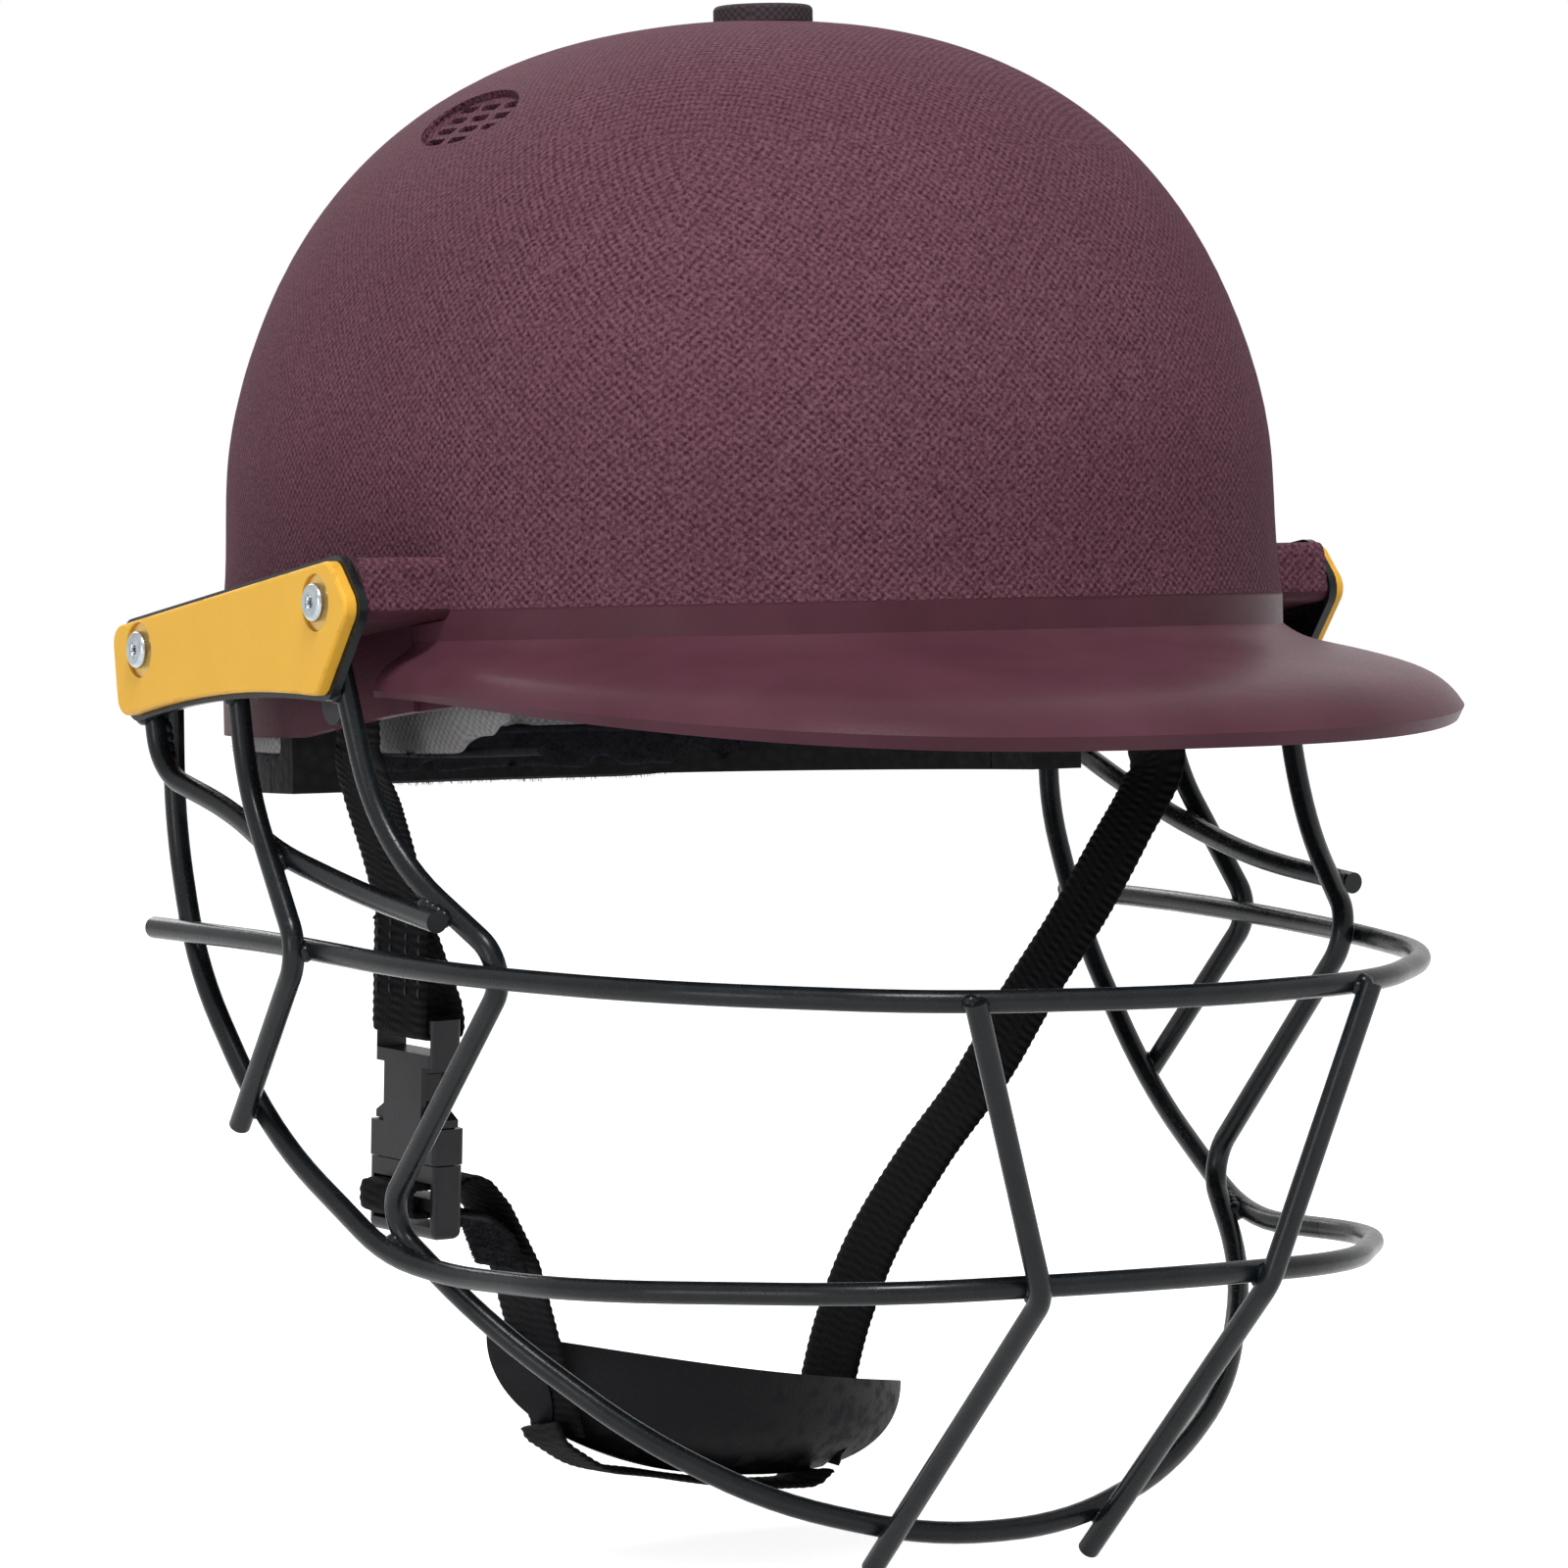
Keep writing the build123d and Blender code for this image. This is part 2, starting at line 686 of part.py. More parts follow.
# Each place is a share of the way out, of the way back and of the drop
strap_twist_share = 0.14
left_strap_shares = [
    (1.0, 0.0, 0.055),
    (0.998, -0.005, 0.085),
    (0.982, -0.10, 0.14),
    (0.90, -0.06, 0.235),
    (0.815, 0.11, 0.355),
    (0.72, 0.285, 0.47),
    (0.625, 0.455, 0.595),
    (0.505, 0.63, 0.715),
    (0.405, 0.80, 0.84),
    (0.345, 0.91, 0.955),
    (0.31, 0.98, 1.06),
    (0.28, 1.03, 1.17),
]
right_strap_shares = [
    (1.0, 0.0, 0.055),
    (0.990, 0.01, 0.085),
    (0.937, 0.177, 0.148),
    (0.88, 0.294, 0.232),
]
buckle_top_share = (0.793, 0.443, 0.46)
buckle_low_share = (0.793, 0.558, 0.779)

# Webbing at the buckle: each place is a share of the buckle's width out from its middle plane and down from its bar
fold_inner_shares = [(-0.206, 0.0), (-0.17, -0.155), (0.145, -0.85)]
tail_end_shares = [(-0.958, 2.308), (-0.795, 1.962), (-0.519, 1.769)]
tail_run_shares = [(-0.327, 1.431), (-0.519, 1.446), (-0.75, 1.692)]

# The last places before the cup: shares of the way in from the rivet, and of the buckle's width down
tail_low_shares = [(-0.2632, 2.238), (-0.3233, 2.962), (-0.3948, 3.846)]


def rivet_hole():
    """The hole that a rivet takes through a strap, on both sides at once."""
    return x_cylinder(rivet_dia / 2 + rivet_clearance, -shell_half_width, shell_half_width)


def make_strap_left():
    """The plain webbing on the wearer's left, from its rivet down into the cup."""
    return make_riveted_strap(*strap_route(left_strap_shares, 1))


def buckle_plane():
    """The buckle's own frame: X runs to the front, Y points outward, and Z runs down the strap."""
    top = strap_place(*buckle_top_share, -1)
    low = strap_place(*buckle_low_share, -1)
    down = (low - top).normalized()
    front = Vector(strap_twist_share, -1, 0)
    front = (front - down * front.dot(down)).normalized()
    return Plane(origin=top, x_dir=front, z_dir=down)


def buckle_point(outward, down):
    """A world point on the buckle's middle plane."""
    return buckle_plane().from_local_coords(Vector(0, outward, down))


def webbing_fold(places, tight_corners):
    """Webbing bent in the buckle's middle plane: straight runs joined by tangent arcs, as wide as the strap."""
    points = [Vector(0, outward, down) for outward, down in places]
    path = wire_path(points, tight_corners, fold_radius)
    section = Plane(origin=path @ 0, x_dir=(1, 0, 0), z_dir=path % 0) * Rectangle(strap_width, strap_wall)
    return buckle_plane() * sweep(section, path=path)


def at_buckle(shares):
    """Places on the buckle's middle plane, from shares of its width."""
    return [(buckle_width * outward, buckle_width * down) for outward, down in shares]


def make_strap_right():
    """The webbing on the wearer's right, from its rivet down and round the bar of the buckle's socket."""
    leg = buckle_wall / 2 + strap_gap + strap_wall / 2
    under = buckle_bar + strap_gap + strap_wall / 2
    join = -socket_width
    inner = at_buckle(fold_inner_shares)
    places = [(leg, join), (leg, under), (-leg, under)] + inner
    fold = webbing_fold(places, (1, 2))
    points, ways = strap_route(right_strap_shares, -1)
    points += [buckle_point(leg, join - strap_wall), buckle_point(leg, join)]
    ways += [-buckle_plane().x_dir] * 2
    return make_riveted_strap(points, ways) + fold


def buckle_box(width, wall, z_low, z_high, x_middle=0.0):
    """A box in the buckle's own frame."""
    return Pos(x_middle, 0, (z_low + z_high) / 2) * Box(width, wall, z_high - z_low)


def mouth_start():
    """Where the socket's collar starts, below its waist."""
    return socket_length - socket_mouth_length


def window_top():
    """Where the two side windows start, below the socket's shoulder."""
    return socket_shoulder + socket_shell


def make_buckle_socket():
    """The hollow half of the buckle: a bar for the webbing, a waist with two windows, and a mouth."""
    head = buckle_box(socket_width, buckle_wall, 0, mouth_start() + overrun)
    head = fillet(head.edges().filter_by(Axis.Z), socket_shell)
    collar = buckle_box(buckle_width, buckle_wall, mouth_start(), socket_length)
    collar = fillet(collar.edges().filter_by(Axis.Z), socket_shell)
    waist_width = socket_width - 2 * socket_waist
    waist_x = (socket_width + waist_width) / 2
    waist_cut = buckle_box(socket_width, buckle_wall * 2, socket_shoulder, mouth_start(), waist_x)
    body = head - waist_cut - Rot(0, 0, 180) * waist_cut + collar
    slot = buckle_box(strap_width + strap_gap * 2, buckle_wall * 2, buckle_bar, buckle_bar + buckle_slot)
    cavity_width = buckle_width - 2 * socket_shell
    cavity_wall = plug_wall + 2 * prong_gap
    cavity_top = buckle_bar + buckle_slot + socket_shell
    narrow = buckle_box(waist_width - 2 * socket_shell, cavity_wall, cavity_top, mouth_start())
    wide = buckle_box(cavity_width, cavity_wall, mouth_start() - overrun, socket_length + overrun)
    window = buckle_box(buckle_width * 2, cavity_wall, window_top(), mouth_start() - overrun)
    return buckle_plane() * (body - slot - narrow - wide - window)


def prong_pivot():
    """The prongs' pivots in the buckle's frame, as a distance out from its middle and one down from its top."""
    out = buckle_width / 2 - socket_shell - prong_gap - prong_width / 2
    return out, socket_length + prong_gap + prong_width / 2


def plug_slots():
    """The top of the plug, and the tops of its two slots, measured down the buckle."""
    top = socket_length + prong_gap
    first = top + plug_collar
    return top, first, first + plug_slot + buckle_bar


def make_buckle_plug():
    """The solid half of the buckle: a centre guide, a collar, and a frame that the webbing threads."""
    out, down = prong_pivot()
    top, first, second = plug_slots()
    body_wall = buckle_wall - 2 * prong_gap
    body = buckle_box(buckle_width, body_wall, top, top + plug_length)
    body = fillet(body.edges().filter_by(Axis.Z), socket_shell)
    low_edges = body.faces().sort_by(Axis.Z)[-1].edges().filter_by(Axis.Y)
    body = fillet(low_edges, buckle_rail)
    guide = buckle_box(prong_width, plug_wall, mouth_start(), top + overrun)
    body += guide
    for slot_top in (first, second):
        body -= buckle_box(buckle_width - 2 * buckle_rail, buckle_wall * 2, slot_top, slot_top + plug_slot)
    for side in (-1, 1):
        seat_wall = plug_wall + 2 * prong_gap
        seat = buckle_box(prong_width + 2 * prong_gap, seat_wall, top - overrun, down, side * out)
        seat += Pos(side * out, 0, down) * Rot(90, 0, 0) * Cylinder(prong_width / 2 + prong_gap, seat_wall)
        pin = Pos(side * out, 0, down) * Rot(90, 0, 0) * Cylinder(prong_pin_dia / 2, body_wall)
        body = body - seat + pin
    return buckle_plane() * body


def make_prong(side):
    """One sprung prong of the plug: a pivoting root, an arm that leans in up the socket, and a barb in the window."""
    out, down = prong_pivot()
    half = prong_width / 2
    barb_low = mouth_start() - prong_gap
    tip = window_top() + prong_gap
    barb_out = out + half + barb_width
    tip_shares = (0.38, 0.67)
    lean = barb_low - barb_length
    corners = [
        (out - half, down),
        (out - half, barb_low + half),
        (out * tip_shares[0], lean),
        (out * tip_shares[0], tip),
        (out * tip_shares[1], tip),
        (out * tip_shares[1], lean),
        (barb_out, barb_low - half),
        (barb_out, barb_low),
        (out + half, barb_low),
        (out + half, down),
    ]
    outline = make_face(Polyline(*[(side * x, z) for x, z in corners], close=True))
    arm = extrude(Rot(90, 0, 0) * outline, amount=plug_wall / 2, both=True)
    root = Pos(side * out, 0, down) * Rot(90, 0, 0) * Cylinder(half, plug_wall)
    pin_hole = Pos(side * out, 0, down) * Rot(90, 0, 0)
    pin_hole *= Cylinder(prong_pin_dia / 2 + rivet_clearance, plug_wall * 2)
    return buckle_plane() * (arm + root - pin_hole)


def make_rivet(side):
    """A rivet through the shell's wall, with a head outside and one inside that keeps the strap on."""
    inner_x = strap_top_x() - strap_wall / 2 - strap_gap
    outer_x = shell_half_width
    stem = x_cylinder(rivet_dia / 2, inner_x, outer_x)
    inner_head = x_cylinder(rivet_head_dia / 2, inner_x - rivet_head_height, inner_x)
    outer_head = x_cylinder(rivet_head_dia / 2, outer_x, outer_x + rivet_head_height)
    rivet = stem + inner_head + outer_head
    return rivet if side > 0 else mirrored(rivet)


def x_cylinder(radius, x_low, x_high):
    """A cylinder along the straps' hinge axis."""
    return Pos((x_low + x_high) / 2, strap_axis_y, strap_axis_z) * Rot(0, 90, 0) * Cylinder(radius, x_high - x_low)


def cup_plane():
    """The chin cup's own frame, rolled and pitched as it hangs."""
    return Plane(Pos(cup_centre_x, cup_centre_y, cup_rim_z) * Rot(0, cup_roll, 0) * Rot(-cup_pitch, 0, 0))


def cup_share(depth_share):
    """How much of its full length and width the cup keeps at a share of its depth."""
    return (1 - depth_share ** cup_power) ** (1 / cup_power)


def cup_body(inset):
    """The cup's boat shape, full to the brim."""
    faces = []
    depth_shares = [0.0, 0.3, 0.55, 0.75, 0.9, 0.985]
    for depth_share in depth_shares:
        share = cup_share(depth_share)
        length = (cup_half_length - inset) * share
        width = (cup_half_width - inset) * share
        front = ThreePointArc((-length, 0), (0, -width), (length, 0))
        back = ThreePointArc((length, 0), (0, width), (-length, 0))
        face = make_face(front.edges() + back.edges())
        faces.append(Pos(0, 0, -(cup_depth - inset) * depth_share) * face)
    body = loft(faces)
    brim = extrude(faces[0], amount=cup_sag)
    return body + brim


def cup_rim_cutter():
    """Everything above the cup's rim, which sags between its two ends."""
    ends = cup_half_length + overrun
    top = cup_sag * 2
    arc = ThreePointArc((-ends, 0), (0, -cup_sag), (ends, 0))
    sides = Polyline((ends, 0), (ends, top), (-ends, top), (-ends, 0))
    face = make_face(arc.edges() + sides.edges())
    return extrude(Rot(90, 0, 0) * face, amount=cup_half_width + overrun, both=True)


def make_chin_cup():
    """The rubber cup, slotted where the two straps pass through its floor."""
    cup = cup_plane() * (cup_body(0.0) - cup_body(cup_wall) - cup_rim_cutter())
    hole_width = strap_width + 2 * cup_strap_gap
    hole_wall = strap_wall + 2 * cup_strap_gap
    left_places = strap_route(left_strap_shares, 1)[0]
    tail_ends = [buckle_point(*place) for place in tail_places()[-3:]]
    for places in (left_places[-4:], tail_ends):
        run_on = (places[-1] - places[-2]).normalized() * cup_wall
        reach = places + [places[-1] + run_on]
        cup -= make_strap(reach, [Vector(-strap_twist_share, 1, 0)] * len(reach), hole_width, hole_wall)
    return cup


def make_cup_strap():
    """The webbing that runs under the cup and holds it in the loop of the straps."""
    places = []
    clear = cup_strap_gap + strap_wall
    x_shares = [-0.82, -0.7, -0.5, -0.25, 0.0, 0.25, 0.5, 0.66]
    for x_share in x_shares:
        depth_share = cup_share(abs(x_share))
        floor = Vector(x_share * cup_half_length, 0, -cup_depth * depth_share)
        slope = signed_power(x_share, cup_power - 1) / cup_half_length
        outward = Vector(slope, 0, -depth_share ** (cup_power - 1) / cup_depth).normalized()
        places.append(cup_plane().from_local_coords(floor + outward * clear))
    return make_strap(places, [Vector(0, 1, 0)] * len(places))


def tail_places():
    """The webbing below the buckle: its loose end, the fold through the plug's two slots, and the run to the cup."""
    first, second = plug_slots()[1:]
    reach = buckle_wall / 2 + strap_wall
    first_z = first + strap_gap + strap_wall / 2
    second_z = second + strap_gap + strap_wall / 2
    fold = [(-reach, second_z), (fold_reach, second_z), (fold_reach, first_z), (-reach, first_z)]
    low_run = [(strap_top_x() * outward, buckle_width * down) for outward, down in tail_low_shares]
    return at_buckle(tail_end_shares) + fold + at_buckle(tail_run_shares) + low_run


def make_strap_tail():
    """The webbing from its loose end, through the plug, and down to the near end of the cup."""
    return webbing_fold(tail_places(), ())


def build_parts():
    """Every piece of the helmet by the name of its node."""
    side_pad = curved_pad(side_pad_start, side_pad_end, -side_pad_bottom, side_pad_top)
    cage_plate = make_cage_plate()
    side_cover = make_side_cover()
    side_strut = half_wire(side_strut_shares, (2,))
    eye_spur = half_wire(eye_spur_shares)
    front_strut = half_wire(front_strut_shares, (1,))
    return {
        "shell": make_shell(),
        "peak": make_peak(),
        "top_button": make_top_button(),
        **make_foam(),
        "crown_pad": make_crown_pad(),
        "brow_pad": curved_pad(-brow_pad_angle, brow_pad_angle, -brow_pad_bottom, brow_pad_top),
        "side_pad_left": side_pad,
        "side_pad_right": mirrored(side_pad),
        "nape_pad": curved_pad(nape_pad_start, nape_pad_end, -nape_pad_bottom, nape_pad_top),
        "cage_plate_left": cage_plate,
        "cage_plate_right": mirrored(cage_plate),
        "side_cover_left": side_cover,
        "side_cover_right": mirrored(side_cover),
        "cover_screws": both_sides(make_screw),
        "cover_washers": both_sides(make_washer),
        "shell_inserts": both_sides(make_insert),
        "upper_bar": make_wire(whole_loop(upper_bar_shares)),
        "lower_bar": make_wire(whole_loop(lower_bar_shares)),
        "chin_loop": make_wire(whole_loop(chin_loop_shares), (2, 3, 12, 13)),
        "side_strut_left": side_strut,
        "side_strut_right": mirrored(side_strut),
        "eye_spur_left": eye_spur,
        "eye_spur_right": mirrored(eye_spur),
        "front_strut_left": front_strut,
        "front_strut_right": mirrored(front_strut),
        "strap_rivet_left": make_rivet(1),
        "strap_rivet_right": make_rivet(-1),
        "strap_left": make_strap_left(),
        "strap_right": make_strap_right(),
        "buckle_socket": make_buckle_socket(),
        "buckle_plug": make_buckle_plug(),
        "prong_front": make_prong(1),
        "prong_rear": make_prong(-1),
        "strap_tail": make_strap_tail(),
        "chin_cup": make_chin_cup(),
        "cup_strap": make_cup_strap(),
    }


os.makedirs("parts", exist_ok=True)
for name, piece in build_parts().items():
    export_step(piece, f"parts/{name}.step")
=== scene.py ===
# %% [markdown]
# # Cricket helmet
# The looks of a cricket helmet, built around its CAD model. The CAD gives every hard shape: shell, peak, side plates,
# guard wires, buckle, chin cup. This script gives them their finishes, and makes the soft goods anew: the pads, the
# webbing and its stitches. Lengths are in metres, the front is -Y, the wearer's left is +X, and Z is up.

import json
from math import cos, exp, pi, radians, sin, tan

import bmesh
import bpy
import numpy as np
from mathutils import Matrix, Vector, kdtree


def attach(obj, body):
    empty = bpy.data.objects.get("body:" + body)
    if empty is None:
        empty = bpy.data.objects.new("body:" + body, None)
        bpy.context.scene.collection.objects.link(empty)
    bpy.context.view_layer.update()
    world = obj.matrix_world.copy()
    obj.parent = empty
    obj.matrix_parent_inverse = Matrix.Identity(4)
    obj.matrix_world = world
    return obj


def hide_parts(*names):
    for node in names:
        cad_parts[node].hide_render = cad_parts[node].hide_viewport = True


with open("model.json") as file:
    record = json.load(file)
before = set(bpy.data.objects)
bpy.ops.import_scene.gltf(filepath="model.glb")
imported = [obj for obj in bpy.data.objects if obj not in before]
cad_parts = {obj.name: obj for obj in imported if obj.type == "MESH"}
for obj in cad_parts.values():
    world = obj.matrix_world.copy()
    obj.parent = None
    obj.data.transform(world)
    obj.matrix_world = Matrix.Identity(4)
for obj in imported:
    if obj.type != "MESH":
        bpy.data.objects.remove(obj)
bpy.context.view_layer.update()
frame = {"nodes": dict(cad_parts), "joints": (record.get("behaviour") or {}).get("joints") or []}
nodes = frame["nodes"]
scene = bpy.context.scene
MM = 0.001
print(len(nodes), "CAD nodes loaded")

# %% [markdown]
# ## Camera
# A long lens far from the helmet keeps its lines nearly parallel, as in a catalogue photograph. The camera looks from
# the wearer's front right, level with the headband. Its three axes are written out and stacked into a matrix.

# %% camera
CAMERA_PLACE = (-0.94570, -1.59997, 0.0)
CAMERA_RIGHT = (0.86011594, -0.50968524, -0.02053105)
CAMERA_DOWN = (-0.02903441, -0.00873351, -0.99954026)
CAMERA_FORWARD = (0.5092716, 0.86031662, -0.02231024)
camera_data = bpy.data.cameras.new("camera")
camera_data.lens = 184.5
camera_data.sensor_width = 36.0
camera = bpy.data.objects.new("camera", camera_data)
turn = Matrix((CAMERA_RIGHT, -Vector(CAMERA_DOWN), -Vector(CAMERA_FORWARD))).transposed()
camera.matrix_world = Matrix.Translation(CAMERA_PLACE) @ turn.to_4x4()
scene.collection.objects.link(camera)
scene.camera = camera
scene.view_settings.view_transform = "Standard"

# %% [markdown]
# ## Shader maths as Python
# A procedural finish is mostly arithmetic on a place in space: stripes are a sine of it, a weave is two sines
# multiplied. Adding Math nodes by hand hides that, so this class wraps a node's output and lets Python's own signs add
# the nodes. Colours and vectors can't pass through a Math node, so they have calls of their own.


# %% a class for shader maths
class Wire:
    """One node's output, which Python arithmetic works on."""

    def __init__(self, tree, socket):
        self.tree = tree
        self.socket = socket

    def node(self, kind, settings=None, inputs=None, output=0):
        """Add any node to the same tree: first its settings, then the values or links of its sockets."""
        made = self.tree.nodes.new(kind)
        for name, value in (settings or {}).items():
            setattr(made, name, value)
        for name, value in (inputs or {}).items():
            if isinstance(value, Wire):
                self.tree.links.new(value.socket, made.inputs[name])
            else:
                made.inputs[name].default_value = value
        return Wire(self.tree, made.outputs[output])

    def math(self, operation, first, second=0.0):
        return self.node("ShaderNodeMath", {"operation": operation}, {0: first, 1: second})

    def __add__(self, other):
        return self.math("ADD", self, other)

    __radd__ = __add__

    def __sub__(self, other):
        return self.math("SUBTRACT", self, other)

    def __rsub__(self, other):
        return self.math("SUBTRACT", other, self)

    def __mul__(self, other):
        return self.math("MULTIPLY", self, other)

    __rmul__ = __mul__

    def __abs__(self):
        return self.math("ABSOLUTE", self)

    def wave(self, pitch):
        """A sine that turns once in each pitch."""
        return self.math("SINE", self * (2 * pi / pitch))

    def above(self, edge, blur):
        """0 below the edge, 1 above it, and a smooth step of the blur's width between."""
        limits = {"Value": self, "From Min": edge - blur / 2, "From Max": edge + blur / 2}
        return self.node("ShaderNodeMapRange", {"interpolation_type": "SMOOTHSTEP"}, limits)

    def blend(self, low, high):
        """A number that runs from low to high as this mask runs from 0 to 1."""
        return low + self * (high - low)

    def mix(self, low, high):
        """A colour that runs from low to high as this mask runs from 0 to 1."""
        return self.node("ShaderNodeMix", {"data_type": "RGBA"}, {0: self, 6: low, 7: high}, 2)

    def stretched(self, factors):
        """A place with each axis scaled by its own factor."""
        return self.node("ShaderNodeVectorMath", {"operation": "MULTIPLY"}, {0: self, 1: factors})

    def axes(self):
        """The three numbers of a place."""
        split = self.node("ShaderNodeSeparateXYZ", inputs={0: self})
        return [Wire(self.tree, socket) for socket in split.socket.node.outputs]

    def noise(self, size, detail=3.0):
        """Soft random patches of about this size."""
        return self.node("ShaderNodeTexNoise", inputs={"Vector": self, "Scale": 1 / size, "Detail": detail})

    def cells(self, size):
        """The distance from the middle of random cells of about this size."""
        return self.node("ShaderNodeTexVoronoi", inputs={"Vector": self, "Scale": 1 / size})


def new_finish(name):
    """A new material, and the place on the object as a wire to build its maths from."""
    material = bpy.data.materials.new(name)
    material.use_nodes = True
    tree = material.node_tree
    place = Wire(tree, tree.nodes.new("ShaderNodeTexCoord").outputs["Object"])
    return material, place


def set_finish(material, varying, height=None, relief=0.0, **fixed):
    """Link what varies over the surface, set what is the same all over, and add the height as a bump."""
    shader = material.node_tree.nodes["Principled BSDF"]
    for name, wire in varying.items():
        material.node_tree.links.new(wire.socket, shader.inputs[name])
    for name, value in fixed.items():
        shader.inputs[name.replace("_", " ")].default_value = value
    if height is not None:
        bump = height.node("ShaderNodeBump", inputs={"Height": height, "Distance": relief})
        material.node_tree.links.new(bump.socket, shader.inputs["Normal"])
    print("finish", material.name, len(material.node_tree.nodes), "nodes")
    return material


def dress(material, *names):
    """Give CAD nodes this finish."""
    for name in names:
        for slot in nodes[name].material_slots:
            slot.material = material


# %% [markdown]
# ## Floor, backdrop and lights
# The photograph has a pure white ground. White light from everywhere would wash the helmet out, so only the camera,
# mirrors and glass see the sky at full strength, and the surfaces get less of it. The floor adds a little of its own
# white for the same rays, which hides the horizon and still keeps the shadow.

# %% floor and backdrop
FLOOR_Z = -0.2175
FLOOR_SIZE = 40.0
SKY_FOR_SURFACES = 0.29
FLOOR_GLOW = 0.80
WHITE = (1.0, 1.0, 1.0, 1.0)
BLACK = (0.0, 0.0, 0.0, 1.0)
FLOOR_GREY = (0.8, 0.8, 0.8, 1.0)
FLOOR_ROUGHNESS = 0.9


def seen_directly(tree):
    """1 where the camera, a mirror or glass looks straight at the surface, else 0."""
    rays = tree.nodes.new("ShaderNodeLightPath")
    camera_ray = Wire(tree, rays.outputs["Is Camera Ray"])
    mirror_ray = Wire(tree, rays.outputs["Is Glossy Ray"])
    glass_ray = Wire(tree, rays.outputs["Is Transmission Ray"])
    total = camera_ray + mirror_ray + glass_ray
    return total.math("MINIMUM", total, 1.0)


def make_floor_finish():
    material = new_finish("floor_white")[0]
    glow = seen_directly(material.node_tree).mix(BLACK, WHITE)
    fixed = {"Base_Color": FLOOR_GREY, "Roughness": FLOOR_ROUGHNESS, "Emission_Strength": FLOOR_GLOW}
    return set_finish(material, {"Emission Color": glow}, **fixed)


bpy.ops.mesh.primitive_plane_add(size=FLOOR_SIZE, location=(0, 0, FLOOR_Z))
floor = bpy.context.object
floor.name = "floor"
floor.data.materials.append(make_floor_finish())

world = bpy.data.worlds.new("world")
world.use_nodes = True
sky = world.node_tree.nodes["Background"]
sky.inputs["Color"].default_value = WHITE
sky_level = seen_directly(world.node_tree).blend(SKY_FOR_SURFACES, 1.0)
world.node_tree.links.new(sky_level.socket, sky.inputs["Strength"])
scene.world = world

# %% [markdown]
# Three soft boxes shape the helmet. The brightest hangs high in front, a weaker one fills from the left, and one
# behind draws a light edge on the crown. A box's power is worked out from the level that it should
# give on a surface that faces it, so the sum of sky and lamps stays near 1.

# %% lamps
LOOK_AT = Vector((0.0, 0.0, -0.03))


def soft_box(name, place, level, size):
    """Add a square lamp that points at the helmet and lights a facing surface to this level."""
    data = bpy.data.lights.new(name, "AREA")
    data.size = size
    distance = (Vector(place) - LOOK_AT).length
    data.energy = level * pi * pi * distance ** 2
    lamp = bpy.data.objects.new(name, data)
    lamp.location = place
    lamp.rotation_euler = (LOOK_AT - Vector(place)).to_track_quat("-Z", "Y").to_euler()
    scene.collection.objects.link(lamp)


soft_box("key_box", (-0.55, -1.15, 2.05), 0.80, 0.55)
soft_box("fill_box", (-1.9, -0.8, 0.2), 0.18, 0.7)
soft_box("back_box", (0.3, 1.9, 1.3), 0.25, 1.0)
print("lights are up")

# %% [markdown]
# ## Shell cloth
# The upper shell is wrapped in maroon cloth with a plain weave, and below the headband line it is smooth. On a plain
# weave each cord passes over and under its neighbours, so the high places lie like the squares of a chessboard: two
# sines multiplied. The weave needs flat coordinates. The dome has none, so the shader makes three, one for surfaces
# that face forward, one sideways and one up, and picks by the direction of the surface.

# %% shell cloth
WEAVE_PITCH = 1.05 * MM
CLOTH_DARK = (0.034, 0.010, 0.016, 1.0)
CLOTH_LIGHT = (0.235, 0.106, 0.142, 1.0)
SMOOTH_MAROON = (0.076, 0.026, 0.038, 1.0)


def plain_weave(across, along, pitch):
    """The height of a plain weave, from 0 to 1."""
    return 0.5 + 0.5 * across.wave(2 * pitch) * along.wave(2 * pitch)


def picked_weave(place, pitch):
    """A weave on the coordinate plane that the surface faces most."""
    x, y, z = place.axes()
    facing = Wire(place.tree, place.socket.node.outputs["Normal"])
    side_way, front_way, up_way = [abs(way) for way in facing.axes()]
    sideways = (side_way - front_way).above(0.0, 0.06)
    upward = up_way.above(0.70, 0.06)
    upright = sideways.blend(plain_weave(x, z, pitch), plain_weave(y, z, pitch))
    return upward.blend(upright, plain_weave(x, y, pitch))


def make_shell_cloth():
    material, place = new_finish("shell_cloth")
    z = place.axes()[2]
    woven = z.above(0.4 * MM, 0.5 * MM)
    threads = picked_weave(place, WEAVE_PITCH)
    fibres = place.noise(0.8 * MM, 2.0).above(0.5, 0.36)
    patches = place.noise(30 * MM, 2.0)
    light = threads * 0.42 + fibres * 0.5 - 0.06
    cloth = light.mix(CLOTH_DARK, CLOTH_LIGHT)
    tone = (patches.above(0.5, 0.7) * 0.25).mix(cloth, SMOOTH_MAROON)
    color = woven.mix(SMOOTH_MAROON, tone)
    rough = woven.blend(0.46 + 0.1 * fibres, 0.72 + 0.2 * fibres)
    height = woven * (0.7 * threads + 0.5 * fibres) + (1 - woven) * 0.08 * fibres
    return set_finish(
        material,
        {"Base Color": color, "Roughness": rough},
        height,
        0.22 * MM,
        Specular_IOR_Level=0.07,
    )


shell_cloth = make_shell_cloth()
dress(shell_cloth, "shell")

# %% [markdown]
# ## Peak
# The peak and its band are one smooth moulding with a fine leathery grain and a soft shine. Its underside is painted
# near-black and matt, as shade. The direction of the surface tells the two apart.

# %% peak finish
PEAK_MAROON = (0.094, 0.034, 0.049, 1.0)
PEAK_DEEP = (0.074, 0.025, 0.037, 1.0)
UNDERSIDE_SHADE_BLACK = (0.006, 0.006, 0.007, 1.0)


